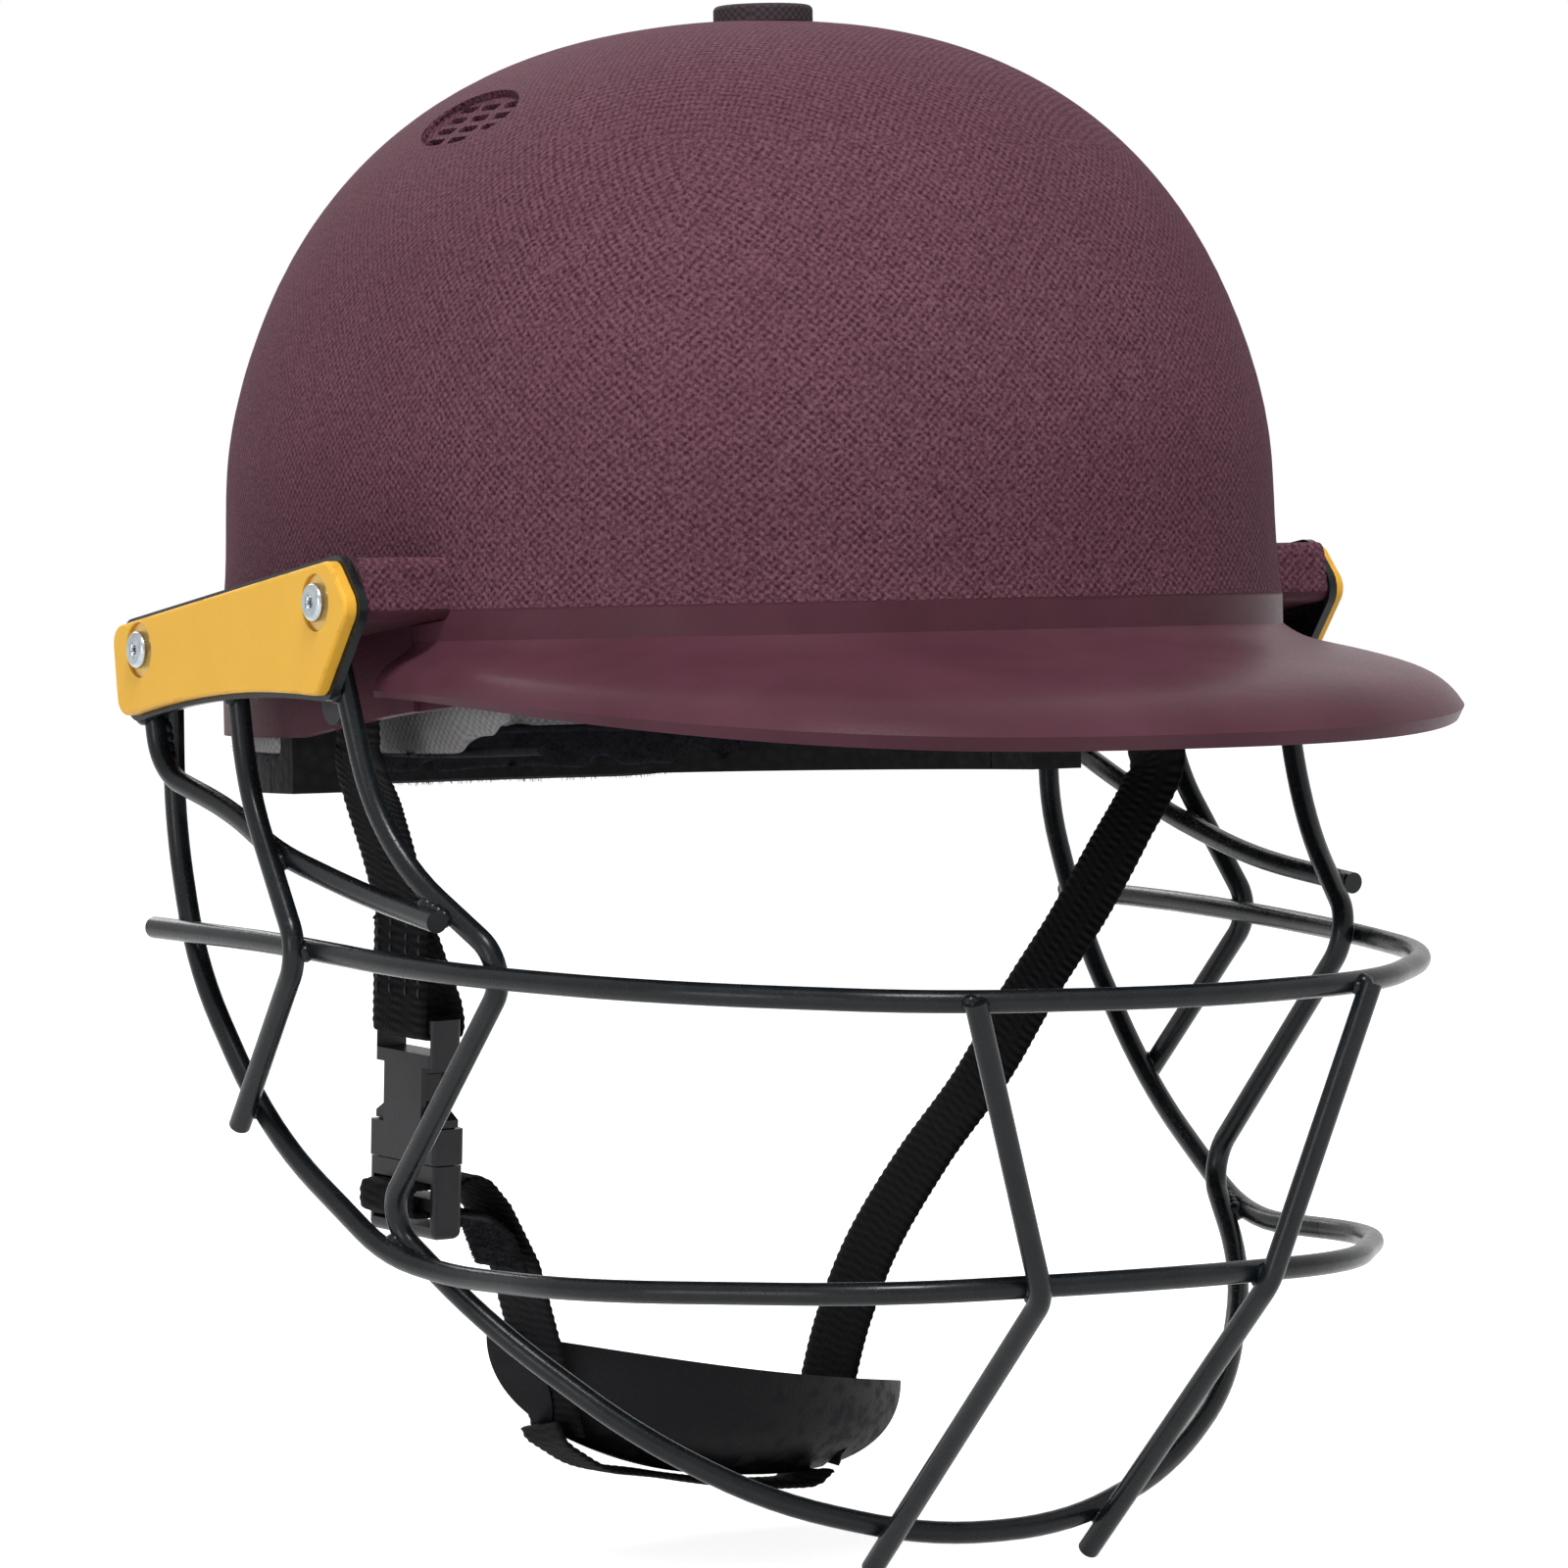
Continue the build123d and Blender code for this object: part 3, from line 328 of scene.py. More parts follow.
def make_peak_gloss():
    material, place = new_finish("peak_gloss")
    z = place.axes()[2]
    facing = Wire(place.tree, place.socket.node.outputs["Normal"])
    # Painted shade: where the surface faces down, below the band, the colour turns near-black.
    under = (0.0 - facing.axes()[2]).above(0.6, 0.1) * (0.0 - z).above(8 * MM, 1 * MM)
    grain = place.noise(0.8 * MM, 3.0)
    patches = place.noise(26 * MM, 3.0)
    color = under.mix(patches.above(0.5, 0.5).mix(PEAK_DEEP, PEAK_MAROON), UNDERSIDE_SHADE_BLACK)
    rough = under.blend(0.30 + 0.16 * grain, 0.85)
    return set_finish(
        material,
        {"Base Color": color, "Roughness": rough},
        grain,
        0.05 * MM,
        Specular_IOR_Level=0.08,
    )


dress(make_peak_gloss(), "peak")

# %% [markdown]
# ## Crown button
# A dark cloth-covered button. The same weave at a finer pitch, in near-black cloth.


# %% crown button
def make_button_cloth():
    material, place = new_finish("button_black")
    threads = picked_weave(place, 0.9 * MM)
    fibres = place.noise(0.6 * MM, 2.0)
    color = (threads * 0.6 + fibres * 0.4).mix((0.022, 0.016, 0.019, 1.0), (0.075, 0.058, 0.067, 1.0))
    return set_finish(
        material,
        {"Base Color": color, "Roughness": 0.7 + 0.2 * fibres},
        threads + 0.4 * fibres,
        0.15 * MM,
        Specular_IOR_Level=0.15,
    )


dress(make_button_cloth(), "top_button")

# %% [markdown]
# ## Guard wires
# The guard is welded from 5 mm steel wire and dipped in a dark coat, which is glossy and a little uneven. The coat is
# nearly black, so it shows little but the lamps, as long bright streaks. Thin specks stand for dust in the coat.


# %% guard wires and side plates
def make_guard_steel():
    material, place = new_finish("guard_steel")
    ripples = place.noise(7 * MM, 4.0)
    specks = place.noise(0.5 * MM, 2.0).above(0.66, 0.08)
    color = (ripples * 0.8 + specks * 0.5).mix((0.003, 0.004, 0.005, 1.0), (0.014, 0.018, 0.021, 1.0))
    return set_finish(
        material,
        {"Base Color": color, "Roughness": 0.20 + 0.14 * ripples + 0.2 * specks},
        ripples + 0.2 * specks,
        0.10 * MM,
        Specular_IOR_Level=0.2,
    )


guard_steel = make_guard_steel()
wire_names = ["upper_bar", "lower_bar", "chin_loop"]
for side in ("left", "right"):
    wire_names += [f"side_strut_{side}", f"eye_spur_{side}", f"front_strut_{side}"]
dress(guard_steel, *wire_names, "cage_plate_left", "cage_plate_right")

# %% [markdown]
# ## Side covers
# The covers are moulded in a warm yellow plastic. The mould leaves a fine orange-peel texture, and the colour is a
# little deeper in patches. Towards the rims, where the surface turns away from the side, the colour is painted deeper
# as shade, and dark blotches are painted along the rims. The real cover's lettering is left off, so the face stays
# bare.

# %% side covers
COVER_YELLOW = (0.93, 0.53, 0.055, 1.0)
COVER_DEEP = (0.74, 0.365, 0.024, 1.0)
COVER_RIM_BLOTCH = (0.24, 0.14, 0.045, 1.0)


def make_cover_yellow():
    material, place = new_finish("cover_yellow")
    grain = place.noise(0.7 * MM, 3.0)
    patches = place.noise(18 * MM, 3.0)
    facing = Wire(place.tree, place.socket.node.outputs["Normal"])
    # Painted shade: the rims, where the surface turns away from the side, are painted deeper. Dark blotches are painted
    # along them.
    rim = 1 - abs(facing.axes()[0]).above(0.90, 0.12)
    rim_blotches = rim * place.noise(5 * MM, 4.0).above(0.58, 0.12)
    color = (patches * 0.45 + rim * 0.35).mix(COVER_YELLOW, COVER_DEEP)
    color = (rim_blotches * 0.25).mix(color, COVER_RIM_BLOTCH)
    return set_finish(
        material,
        {"Base Color": color, "Roughness": 0.42 + 0.18 * grain + 0.2 * rim_blotches},
        grain + 0.6 * patches,
        0.06 * MM,
        Specular_IOR_Level=0.3,
    )


dress(make_cover_yellow(), "side_cover_left", "side_cover_right")

# %% [markdown]
# ## Screws, washers, rivets and inserts
# Zinc-plated screws are bright and slightly blue. The washers under them are painted a dark yellow-brown, as painted
# shade for the cover's dished ring round each head. The rivets that hold the straps are blackened, and the threaded
# inserts are brass. One function makes all four metals.


# %% fastener metals
def make_metal(name, dark, bright, roughness):
    material, place = new_finish(name)
    scratches = place.stretched((0.25, 1.0, 1.0)).noise(0.35 * MM, 3.0)
    patches = place.noise(3 * MM, 3.0)
    color = (patches * 0.7 + scratches * 0.4).mix(dark, bright)
    return set_finish(
        material,
        {"Base Color": color, "Roughness": roughness + 0.18 * scratches},
        scratches,
        0.02 * MM,
        Metallic=1.0,
    )


screw_steel = make_metal("screw_steel", (0.14, 0.17, 0.19, 1.0), (0.60, 0.65, 0.68, 1.0), 0.16)
dress(screw_steel, "cover_screws")
# The washers' yellow-brown is painted shade: the cover's dish round each head, in its own shadow.
dress(make_metal("washer_dish_shade", (0.42, 0.25, 0.07, 1.0), (0.78, 0.52, 0.16, 1.0), 0.28), "cover_washers")
rivet_steel = make_metal("rivet_steel", (0.02, 0.02, 0.022, 1.0), (0.10, 0.10, 0.11, 1.0), 0.3)
dress(rivet_steel, "strap_rivet_left", "strap_rivet_right")
dress(make_metal("insert_brass", (0.42, 0.27, 0.08, 1.0), (0.80, 0.58, 0.22, 1.0), 0.25), "shell_inserts")

# %% [markdown]
# ## Buckle and chin cup
# The buckle is moulded in grey-black acetal, which is satin with a very fine spark texture. The chin cup is soft black
# rubber, duller and finely pebbled, with pale dust in its low places.


# %% buckle plastic and cup rubber
def make_buckle_black():
    material, place = new_finish("buckle_black")
    spark = place.noise(0.45 * MM, 3.0)
    patches = place.noise(6 * MM, 2.0)
    color = (patches * 0.6 + spark * 0.3).mix((0.010, 0.010, 0.012, 1.0), (0.030, 0.029, 0.034, 1.0))
    return set_finish(
        material,
        {"Base Color": color, "Roughness": 0.22 + 0.2 * spark},
        spark,
        0.05 * MM,
        Specular_IOR_Level=0.22,
    )


def make_cup_rubber():
    material, place = new_finish("cup_rubber")
    pebbles = place.cells(0.9 * MM)
    dust = place.noise(4 * MM, 4.0).above(0.56, 0.2)
    color = (dust * 0.7 + pebbles * 0.3).mix((0.0050, 0.0048, 0.0062, 1.0), (0.0165, 0.0155, 0.0190, 1.0))
    return set_finish(
        material,
        {"Base Color": color, "Roughness": 0.5 + 0.2 * dust},
        1 - pebbles,
        0.05 * MM,
        Specular_IOR_Level=0.15,
    )


dress(make_buckle_black(), "buckle_socket", "buckle_plug", "prong_front", "prong_rear")
dress(make_cup_rubber(), "chin_cup")

# %% [markdown]
# ## Foam blocks
# The thick liner is moulded from black expanded beads. Voronoi cells give the beads: each is high in its middle and
# pinched at its edge, and the mould presses the surface nearly flat.


# %% foam blocks
def make_bead_foam():
    material, place = new_finish("liner_black")
    beads = place.cells(3.2 * MM)
    pits = place.noise(0.5 * MM, 2.0)
    color = (beads * 0.5 + pits * 0.4).mix((0.030, 0.030, 0.032, 1.0), (0.009, 0.009, 0.010, 1.0))
    return set_finish(
        material,
        {"Base Color": color, "Roughness": 0.7 + 0.2 * pits},
        1 - beads + 0.2 * pits,
        0.35 * MM,
        Specular_IOR_Level=0.12,
    )


dress(make_bead_foam(), "foam_crown", "foam_front", "foam_rear", "foam_left", "foam_right")

# %% [markdown]
# ## Webbing
# The straps are 20 mm nylon webbing, with ribs across it every 2 mm. A strap is flat and follows a line, so it is built
# directly: its middle line is sampled finely, and at each sample a thin closed outline is laid square to the line. The
# ribs are real bumps of that outline. In each of five columns they are shifted by half a rib, as the weft floats are.
# Each point also keeps its place along and across the strap, so the threads in the finish run with the strap wherever
# it turns.

# %% webbing finish
RIB_PITCH = 2.0 * MM
STRAP_HALF = 10.0 * MM
STRAP_WALL = 1.6 * MM
RIB_HEIGHT = 0.13 * MM
YARN_PITCH = 0.8 * MM


def make_webbing_black():
    material, place = new_finish("webbing_black")
    run = place.node("ShaderNodeAttribute", {"attribute_name": "run"}, output="Vector")
    across, along = run.axes()[:2]
    yarns = across.wave(YARN_PITCH)
    ribs = along.wave(RIB_PITCH)
    fuzz = place.noise(0.3 * MM, 3.0)
    light = 0.4 * fuzz + 0.25 * ribs + 0.15 * yarns
    color = light.mix((0.0025, 0.0025, 0.0032, 1.0), (0.016, 0.016, 0.019, 1.0))
    return set_finish(
        material,
        {"Base Color": color, "Roughness": 0.62 + 0.25 * fuzz},
        0.5 * yarns + 0.5 * fuzz,
        0.10 * MM,
        Specular_IOR_Level=0.08,
    )


webbing_black = make_webbing_black()


# %% lines through places
def smooth_rows(rows, per_span=14):
    """Rows of place and width way, filled in along a smooth line through them."""
    rows = np.array(rows, float)
    padded = np.vstack([2 * rows[0] - rows[1], rows, 2 * rows[-1] - rows[-2]])
    filled = []
    for i in range(len(rows) - 1):
        before, start, end, after = padded[i:i + 4]
        for t in np.linspace(0, 1, per_span, endpoint=False):
            straight = 2 * start + (end - before) * t
            bend = (2 * before - 5 * start + 4 * end - after) * t ** 2
            twist = (3 * start - before - 3 * end + after) * t ** 3
            filled.append((straight + bend + twist) / 2)
    return np.vstack([filled, rows[-1:]])


def rounded_line(points, radii, arc_steps=7):
    """Flat points joined by straight runs, with an arc of its own radius at each inner corner."""
    points = [Vector(point) for point in points]
    line = [points[0]]
    for i in range(1, len(points) - 1):
        back = (points[i - 1] - points[i])
        ahead = (points[i + 1] - points[i])
        half_turn = (pi - back.angle(ahead)) / 2
        reach = min(radii[i - 1] * tan(half_turn), back.length * 0.48, ahead.length * 0.48)
        start = points[i] + back.normalized() * reach
        end = points[i] + ahead.normalized() * reach
        for t in np.linspace(0, 1, arc_steps):
            line.append(start * (1 - t) ** 2 + points[i] * 2 * t * (1 - t) + end * t ** 2)
    return line + [points[-1]]


def even_rows(rows, step):
    """The same line sampled at an even step, and each sample's distance along it."""
    gaps = np.linalg.norm(np.diff(rows[:, :3], axis=0), axis=1)
    along = np.concatenate([[0.0], np.cumsum(gaps)])
    marks = np.linspace(0, along[-1], int(along[-1] / step) + 1)
    columns = [np.interp(marks, along, rows[:, k]) for k in range(rows.shape[1])]
    return marks, np.stack(columns, axis=1)


def strap_frames(rows):
    """At each sample: the place, the way across the strap, and the way out of its face."""
    places = rows[:, :3]
    along = np.gradient(places, axis=0)
    along /= np.linalg.norm(along, axis=1)[:, None]
    across = rows[:, 3:6]
    across = across - along * np.sum(along * across, axis=1)[:, None]
    across /= np.linalg.norm(across, axis=1)[:, None]
    return places, across, np.cross(along, across)


# %% the strap builder
SAMPLE_STEP = 0.34 * MM
STRAP_COLUMNS = 5


def add_mesh(name, points, faces, material, body):
    """A new smooth-shaded piece that rides on a body and takes its finish from a slot."""
    mesh = bpy.data.meshes.new(name)
    mesh.from_pydata([tuple(point) for point in points], [], faces)
    mesh.shade_smooth()
    mesh.materials.append(material)
    piece = bpy.data.objects.new(name, mesh)
    scene.collection.objects.link(piece)
    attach(piece, body)
    print("piece", name, len(points), "points")
    return piece


def strap_outline():
    """The strap's closed outline as (share across, side), once round."""
    shares = np.linspace(-1, 1, 16)
    return [(share, 1) for share in shares] + [(share, -1) for share in shares[::-1]]


def rib(share, mark):
    """The height of the ribs at a place, between -1 and 1, shifted in every other column."""
    column = int((share + 1) / 2 * STRAP_COLUMNS * 0.999)
    return cos(2 * pi * (mark / RIB_PITCH + 0.5 * (column % 2)))


def add_webbing(name, rows, replaced):
    """A ribbed strap along rows of place and width way, instead of the CAD's plain one."""
    marks, rows = even_rows(rows, SAMPLE_STEP)
    places, across, out = strap_frames(rows)
    outline = strap_outline()
    points = []
    runs = []
    for mark, place, wide, face in zip(marks, places, across, out):
        for share, side in outline:
            thick = STRAP_WALL / 2 * (1 - 0.45 * abs(share) ** 9) + RIB_HEIGHT * rib(share, mark) - RIB_HEIGHT
            points.append(place + wide * share * STRAP_HALF + face * side * thick)
            runs += [share * STRAP_HALF, mark, side]
    count = len(outline)
    faces = []
    for i in range(len(marks) - 1):
        for j in range(count):
            k = (j + 1) % count
            faces.append((i * count + j, i * count + k, (i + 1) * count + k, (i + 1) * count + j))
    faces.append(tuple(range(count))[::-1])
    faces.append(tuple((len(marks) - 1) * count + j for j in range(count)))
    piece = add_mesh(name, points, faces, webbing_black, "harness")
    layer = piece.data.attributes.new("run", "FLOAT_VECTOR", "POINT")
    layer.data.foreach_set("vector", runs)
    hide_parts(replaced)


# %% [markdown]
# The left strap runs from its rivet down into the cup. Its places are shares of the way in from the rivet, of the way
# back to the cup, and of the drop to it, as in the CAD. The right strap ends at the buckle, and its places there are
# given in the buckle's own frame: how far out from the helmet, and how far down. That frame comes from the two prong
# joints, so it can't drift from the CAD.

# %% strap routes
STRAP_TOP_X = 106.7 * MM
STRAP_TOP_Y = 5.0 * MM
STRAP_TOP_Z = -20.0 * MM
CUP_BACK = 35.0 * MM
CUP_DROP = 156.5 * MM
TAB = 8.0 * MM
FLAT_WAY = (0.0, 1.0, 0.0)
TURNED_WAY = (-0.14, 1.0, 0.0)
LEFT_SHARES = [(1.0, 0.0, 0.055), (0.998, -0.005, 0.085), (0.982, -0.10, 0.14), (0.90, -0.06, 0.235)]
LEFT_SHARES += [(0.815, 0.11, 0.355), (0.72, 0.285, 0.47), (0.625, 0.455, 0.595), (0.505, 0.63, 0.715)]
LEFT_SHARES += [(0.405, 0.80, 0.84), (0.345, 0.91, 0.955), (0.31, 0.98, 1.06), (0.28, 1.03, 1.17)]
RIGHT_SHARES = [(1.0, 0.0, 0.055), (0.990, 0.01, 0.085), (0.937, 0.177, 0.148), (0.88, 0.294, 0.232)]


def strap_rows(shares, side):
    """Rows of place and width way for a strap, from the top of its riveted tab down."""
    rows = [(side * STRAP_TOP_X, STRAP_TOP_Y, STRAP_TOP_Z + TAB, *FLAT_WAY)]
    for i, (out_share, back_share, drop_share) in enumerate(shares):
        x = side * out_share * STRAP_TOP_X
        y = STRAP_TOP_Y + back_share * CUP_BACK
        z = STRAP_TOP_Z - drop_share * CUP_DROP
        rows.append((x, y, z, *(FLAT_WAY if i < 2 else TURNED_WAY)))
    return rows


joints = {joint["name"]: joint for joint in frame["joints"]}
front_pivot = Vector(joints["front_prong_squeeze"]["pos_m"])
rear_pivot = Vector(joints["rear_prong_squeeze"]["pos_m"])
buckle_out = Vector(joints["front_prong_squeeze"]["axis"]).normalized()
buckle_front = (front_pivot - rear_pivot).normalized()
buckle_down = buckle_front.cross(buckle_out)
PIVOT_DROP = 35.0 * MM
buckle_top = (front_pivot + rear_pivot) / 2 - buckle_down * PIVOT_DROP
print("buckle at", buckle_top)


def buckle_rows(line):
    """Rows of place and width way for flat points in the buckle's frame, given in mm out and down."""
    rows = []
    for point in line:
        place = buckle_top + buckle_out * point[0] * MM + buckle_down * point[1] * MM
        rows.append((*place, *(-buckle_front)))
    return rows


# %% left and right straps
add_webbing("webbing_left", smooth_rows(strap_rows(LEFT_SHARES, 1)), "strap_left")
FOLD_RADIUS = 2.0
SOFT_RADIUS = 6.0
fold_line = [(5.35, -22.5), (5.35, 4.1), (-5.35, 4.1), (-5.36, 0.0), (-4.42, -4.03), (3.6, -22.1)]
fold_radii = [FOLD_RADIUS, FOLD_RADIUS, SOFT_RADIUS, SOFT_RADIUS]
upper = smooth_rows(strap_rows(RIGHT_SHARES, -1) + buckle_rows([(5.35, -24.1), (5.35, -22.5)]))
lower = np.array(buckle_rows(rounded_line(fold_line, fold_radii)))
strap_right_rows = np.vstack([upper, lower[1:]])
add_webbing("webbing_right", strap_right_rows, "strap_right")

# %% [markdown]
# The lower webbing starts at its loose end, threads the plug's two slots from outside to inside and back, and runs
# down into the cup. A last piece runs under the cup's floor and closes the loop.

# %% tail and cup strap
TAIL_RADIUS = 1.9
tail_line = [(-24.9, 60.0), (-20.7, 51.0), (-13.5, 46.0), (-5.85, 44.9), (8.2, 44.9), (8.2, 38.4), (-5.85, 38.4)]
tail_line += [(-8.5, 37.2), (-13.5, 37.6), (-19.5, 44.0), (-28.1, 58.2), (-34.5, 77.0), (-42.1, 100.0)]
tail_radii = [SOFT_RADIUS] * 3 + [TAIL_RADIUS] * 2 + [SOFT_RADIUS] * 6
tail_rows = np.array(buckle_rows(rounded_line(tail_line, tail_radii)))
add_webbing("webbing_tail", tail_rows, "strap_tail")

CUP_PLACE = (-2.0 * MM, 40.0 * MM, -176.5 * MM)
CUP_ROLL = radians(9.6)
CUP_PITCH = radians(-12.0)
CUP_HALF_LENGTH = 57.0 * MM
CUP_DEPTH = 27.5 * MM
CUP_POWER = 2.3
CUP_STRAP_CLEAR = 2.1 * MM
CUP_STRAP_SLACK = 2.0 * MM
SLACK_MIDDLE = -0.5
SLACK_WIDTH = 0.16
SEWN_ENDS = (-0.7, 0.5)
SEWN_CLEAR = 0.1
cup_turn = Matrix.Rotation(CUP_ROLL, 4, "Y") @ Matrix.Rotation(CUP_PITCH, 4, "X")
cup_frame = Matrix.Translation(CUP_PLACE) @ cup_turn


def swell(off, width):
    """1 in the middle, falling off like a bell over this width."""
    return exp(-((off / width) ** 2))


def cup_floor(x_share):
    """A place just under the cup's floor, at a share of its half length. The strap's sewn ends lie close to it."""
    depth_share = (1 - abs(x_share) ** CUP_POWER) ** (1 / CUP_POWER)
    floor_place = Vector((x_share * CUP_HALF_LENGTH, 0.0, -CUP_DEPTH * depth_share))
    slope = abs(x_share) ** (CUP_POWER - 1) / CUP_HALF_LENGTH
    slope = slope if x_share > 0 else -slope
    outward = Vector((slope, 0.0, -depth_share ** (CUP_POWER - 1) / CUP_DEPTH)).normalized()
    slack = CUP_STRAP_SLACK * swell(x_share - SLACK_MIDDLE, SLACK_WIDTH)
    clear = CUP_STRAP_CLEAR * (1 if SEWN_ENDS[0] < x_share < SEWN_ENDS[1] else SEWN_CLEAR)
    return cup_frame @ (floor_place + outward * (clear + slack))


cup_shares = [-0.74, -0.68, -0.6, -0.52, -0.44, -0.36, -0.25, -0.12, 0.0, 0.12, 0.25, 0.38, 0.48, 0.55]
cup_rows = [(*cup_floor(share), *FLAT_WAY) for share in cup_shares]
add_webbing("webbing_cup", smooth_rows(cup_rows), "cup_strap")

# %% [markdown]
# ## Fuzz
# The tail's loose end is faced with hook-and-loop tape, and the lower rims of the pads are plush. Both are thousands of
# short fibres. A real fibre is a hair; here each is a thin bent spike of seven points, all in one mesh, and a fixed
# seed makes them the same in every run.

# %% fibres
FIBRE_WIDTH = 0.09 * MM
random = np.random.default_rng(7)


def make_plush_black():
    material, place = new_finish("plush_black")
    tufts = place.noise(1.5 * MM, 3.0)
    color = tufts.mix((0.004, 0.004, 0.006, 1.0), (0.030, 0.030, 0.040, 1.0))
    return set_finish(
        material,
        {"Base Color": color, "Roughness": 0.75 + 0.2 * tufts},
        tufts,
        0.2 * MM,
        Specular_IOR_Level=0.1,
    )


plush_black = make_plush_black()


def add_fibres(name, spots, length, body):
    """A mesh of short bent spikes, one at each spot of place and outward way."""
    points = []
    faces = []
    for place, out in spots:
        lean = Vector(random.normal(0, 0.45, 3))
        middle = place + (out + lean * 0.5).normalized() * length * 0.55
        tip = middle + (out + lean * 1.6).normalized() * length * random.uniform(0.3, 0.7)
        side = out.orthogonal().normalized()
        third = out.cross(side)
        start = len(points)
        for base, width in ((place - out * length * 0.2, FIBRE_WIDTH), (middle, FIBRE_WIDTH * 0.8)):
            for turn_share in (0.0, 1 / 3, 2 / 3):
                angle = 2 * pi * turn_share
                points.append(base + (side * cos(angle) + third * sin(angle)) * width)
        points.append(tip)
        for j in range(3):
            k = (j + 1) % 3
            faces.append((start + j, start + k, start + 3 + k, start + 3 + j))
            faces.append((start + 3 + j, start + 3 + k, start + 6))
    return add_mesh(name, points, faces, plush_black, body)


def strap_spots(rows, first, last, count, side):
    """Random spots on one face of a strap, between two distances along it."""
    marks, rows = even_rows(rows, SAMPLE_STEP)
    places, across, out = strap_frames(rows)
    spots = []
    for i in range(count):
        k = int(np.searchsorted(marks, random.uniform(first, last)))
        share = random.uniform(-0.96, 0.96)
        place = places[k] + across[k] * share * STRAP_HALF + out[k] * side * STRAP_WALL / 2 * 0.7
        spots.append((Vector(place), Vector(out[k]) * side))
    return spots


TAPE_LENGTH = 16 * MM
tail_spots = strap_spots(tail_rows, 0.4 * MM, TAPE_LENGTH, 900, 1)
tail_spots += strap_spots(tail_rows, 0.4 * MM, TAPE_LENGTH, 500, -1)
add_fibres("tail_fuzz", tail_spots, 1.0 * MM, "harness")

# %% [markdown]
# ## Stitches
# Where webbing is doubled or riveted it is sewn, in rows of short thick threads. Each stitch is a small raised
# capsule that lies along its row and sinks at both ends.

# %% stitches
STITCH_LENGTH = 2.2 * MM
STITCH_GAP = 0.9 * MM
THREAD = 0.28 * MM
THREAD_SIDES = 6


def make_thread_black():
    material, place = new_finish("thread_black")
    plies = place.noise(0.25 * MM, 2.0)
    color = plies.mix((0.012, 0.012, 0.015, 1.0), (0.060, 0.060, 0.070, 1.0))
    varying = {"Base Color": color, "Roughness": 0.45 + 0.2 * plies}
    return set_finish(material, varying, plies, 0.05 * MM, Specular_IOR_Level=0.2)


thread_black = make_thread_black()


def add_stitches(name, stitches, body):
    """Capsules of thread, one for each stitch of start, end and outward way."""
    points = []
    faces = []
    profile = [(0.0, 0.35, -0.9), (0.18, 0.85, 0.0), (0.5, 1.0, 0.35), (0.82, 0.85, 0.0), (1.0, 0.35, -0.9)]
    for start, end, out in stitches:
        along = end - start
        side = along.cross(out).normalized()
        first = len(points)
        for share, width, lift in profile:
            middle = start + along * share + out * THREAD * lift
            for j in range(THREAD_SIDES):
                angle = 2 * pi * j / THREAD_SIDES
                points.append(middle + (side * cos(angle) + out * sin(angle)) * THREAD * width)
        for i in range(len(profile) - 1):
            low = first + i * THREAD_SIDES
            for j in range(THREAD_SIDES):
                k = (j + 1) % THREAD_SIDES
                faces.append((low + j, low + k, low + THREAD_SIDES + k, low + THREAD_SIDES + j))
    return add_mesh(name, points, faces, thread_black, body)


def strap_stitches(rows, first, last, shares, side):
    """Stitches in rows along a strap, at these shares across, between two distances along it."""
    marks, rows = even_rows(rows, SAMPLE_STEP)
    places, across, out = strap_frames(rows)
    stitches = []
    lift = STRAP_WALL / 2
    for share in shares:
        mark = first
        while mark + STITCH_LENGTH < last:
            i = int(np.searchsorted(marks, mark))
            j = int(np.searchsorted(marks, mark + STITCH_LENGTH))
            ends = [places[k] + across[k] * share * STRAP_HALF + out[k] * side * lift for k in (i, j)]
            stitches.append((Vector(ends[0]), Vector(ends[1]), Vector(out[i]) * side))
            mark += STITCH_LENGTH + STITCH_GAP
    return stitches


right_marks = even_rows(strap_right_rows, SAMPLE_STEP)[0]
fold_length = sum((Vector(b) - Vector(a)).length for a, b in zip(fold_line, fold_line[1:])) * MM
join_mark = right_marks[-1] - fold_length
sewn = strap_stitches(strap_right_rows, join_mark + 1 * MM, join_mark + 20 * MM, (-0.8, -0.3, 0.3, 0.8), 1)
sewn += strap_stitches(strap_right_rows, join_mark + 1 * MM, join_mark + 20 * MM, (-0.8, -0.3, 0.3, 0.8), -1)
add_stitches("strap_stitches", sewn, "harness")

# %% [markdown]
# ## Comfort pads
# Each pad is a foam slab in a fabric bag. The CAD's slab is copied, shrunk a little, remeshed, and blown up as cloth by
# a short simulation, which rounds its faces and pulls its edges in. How far a point may move is capped, so the pad
# stays in the room that the CAD keeps for it. After that come one subdivision and the sewn channels.

# %% pad shapes
PAD_VOXEL = 3.5 * MM
PAD_SHRINK = 0.9 * MM
PAD_CAP = 1.9 * MM
PAD_FRAMES = 20
CHANNEL_DEPTH = 1.5 * MM
CHANNEL_WIDTH = 1.8 * MM
DOME_CENTRE = Vector((0.0, 9.5 * MM, 0.0))


def evaluated_mesh(piece):
    """The mesh of a piece with its modifiers worked in."""
    graph = bpy.context.evaluated_depsgraph_get()
    graph.update()
    return bpy.data.meshes.new_from_object(piece.evaluated_get(graph))


def work_in(piece):
    """Apply all the modifiers of a piece."""
    mesh = evaluated_mesh(piece)
    piece.modifiers.clear()
    piece.data = mesh


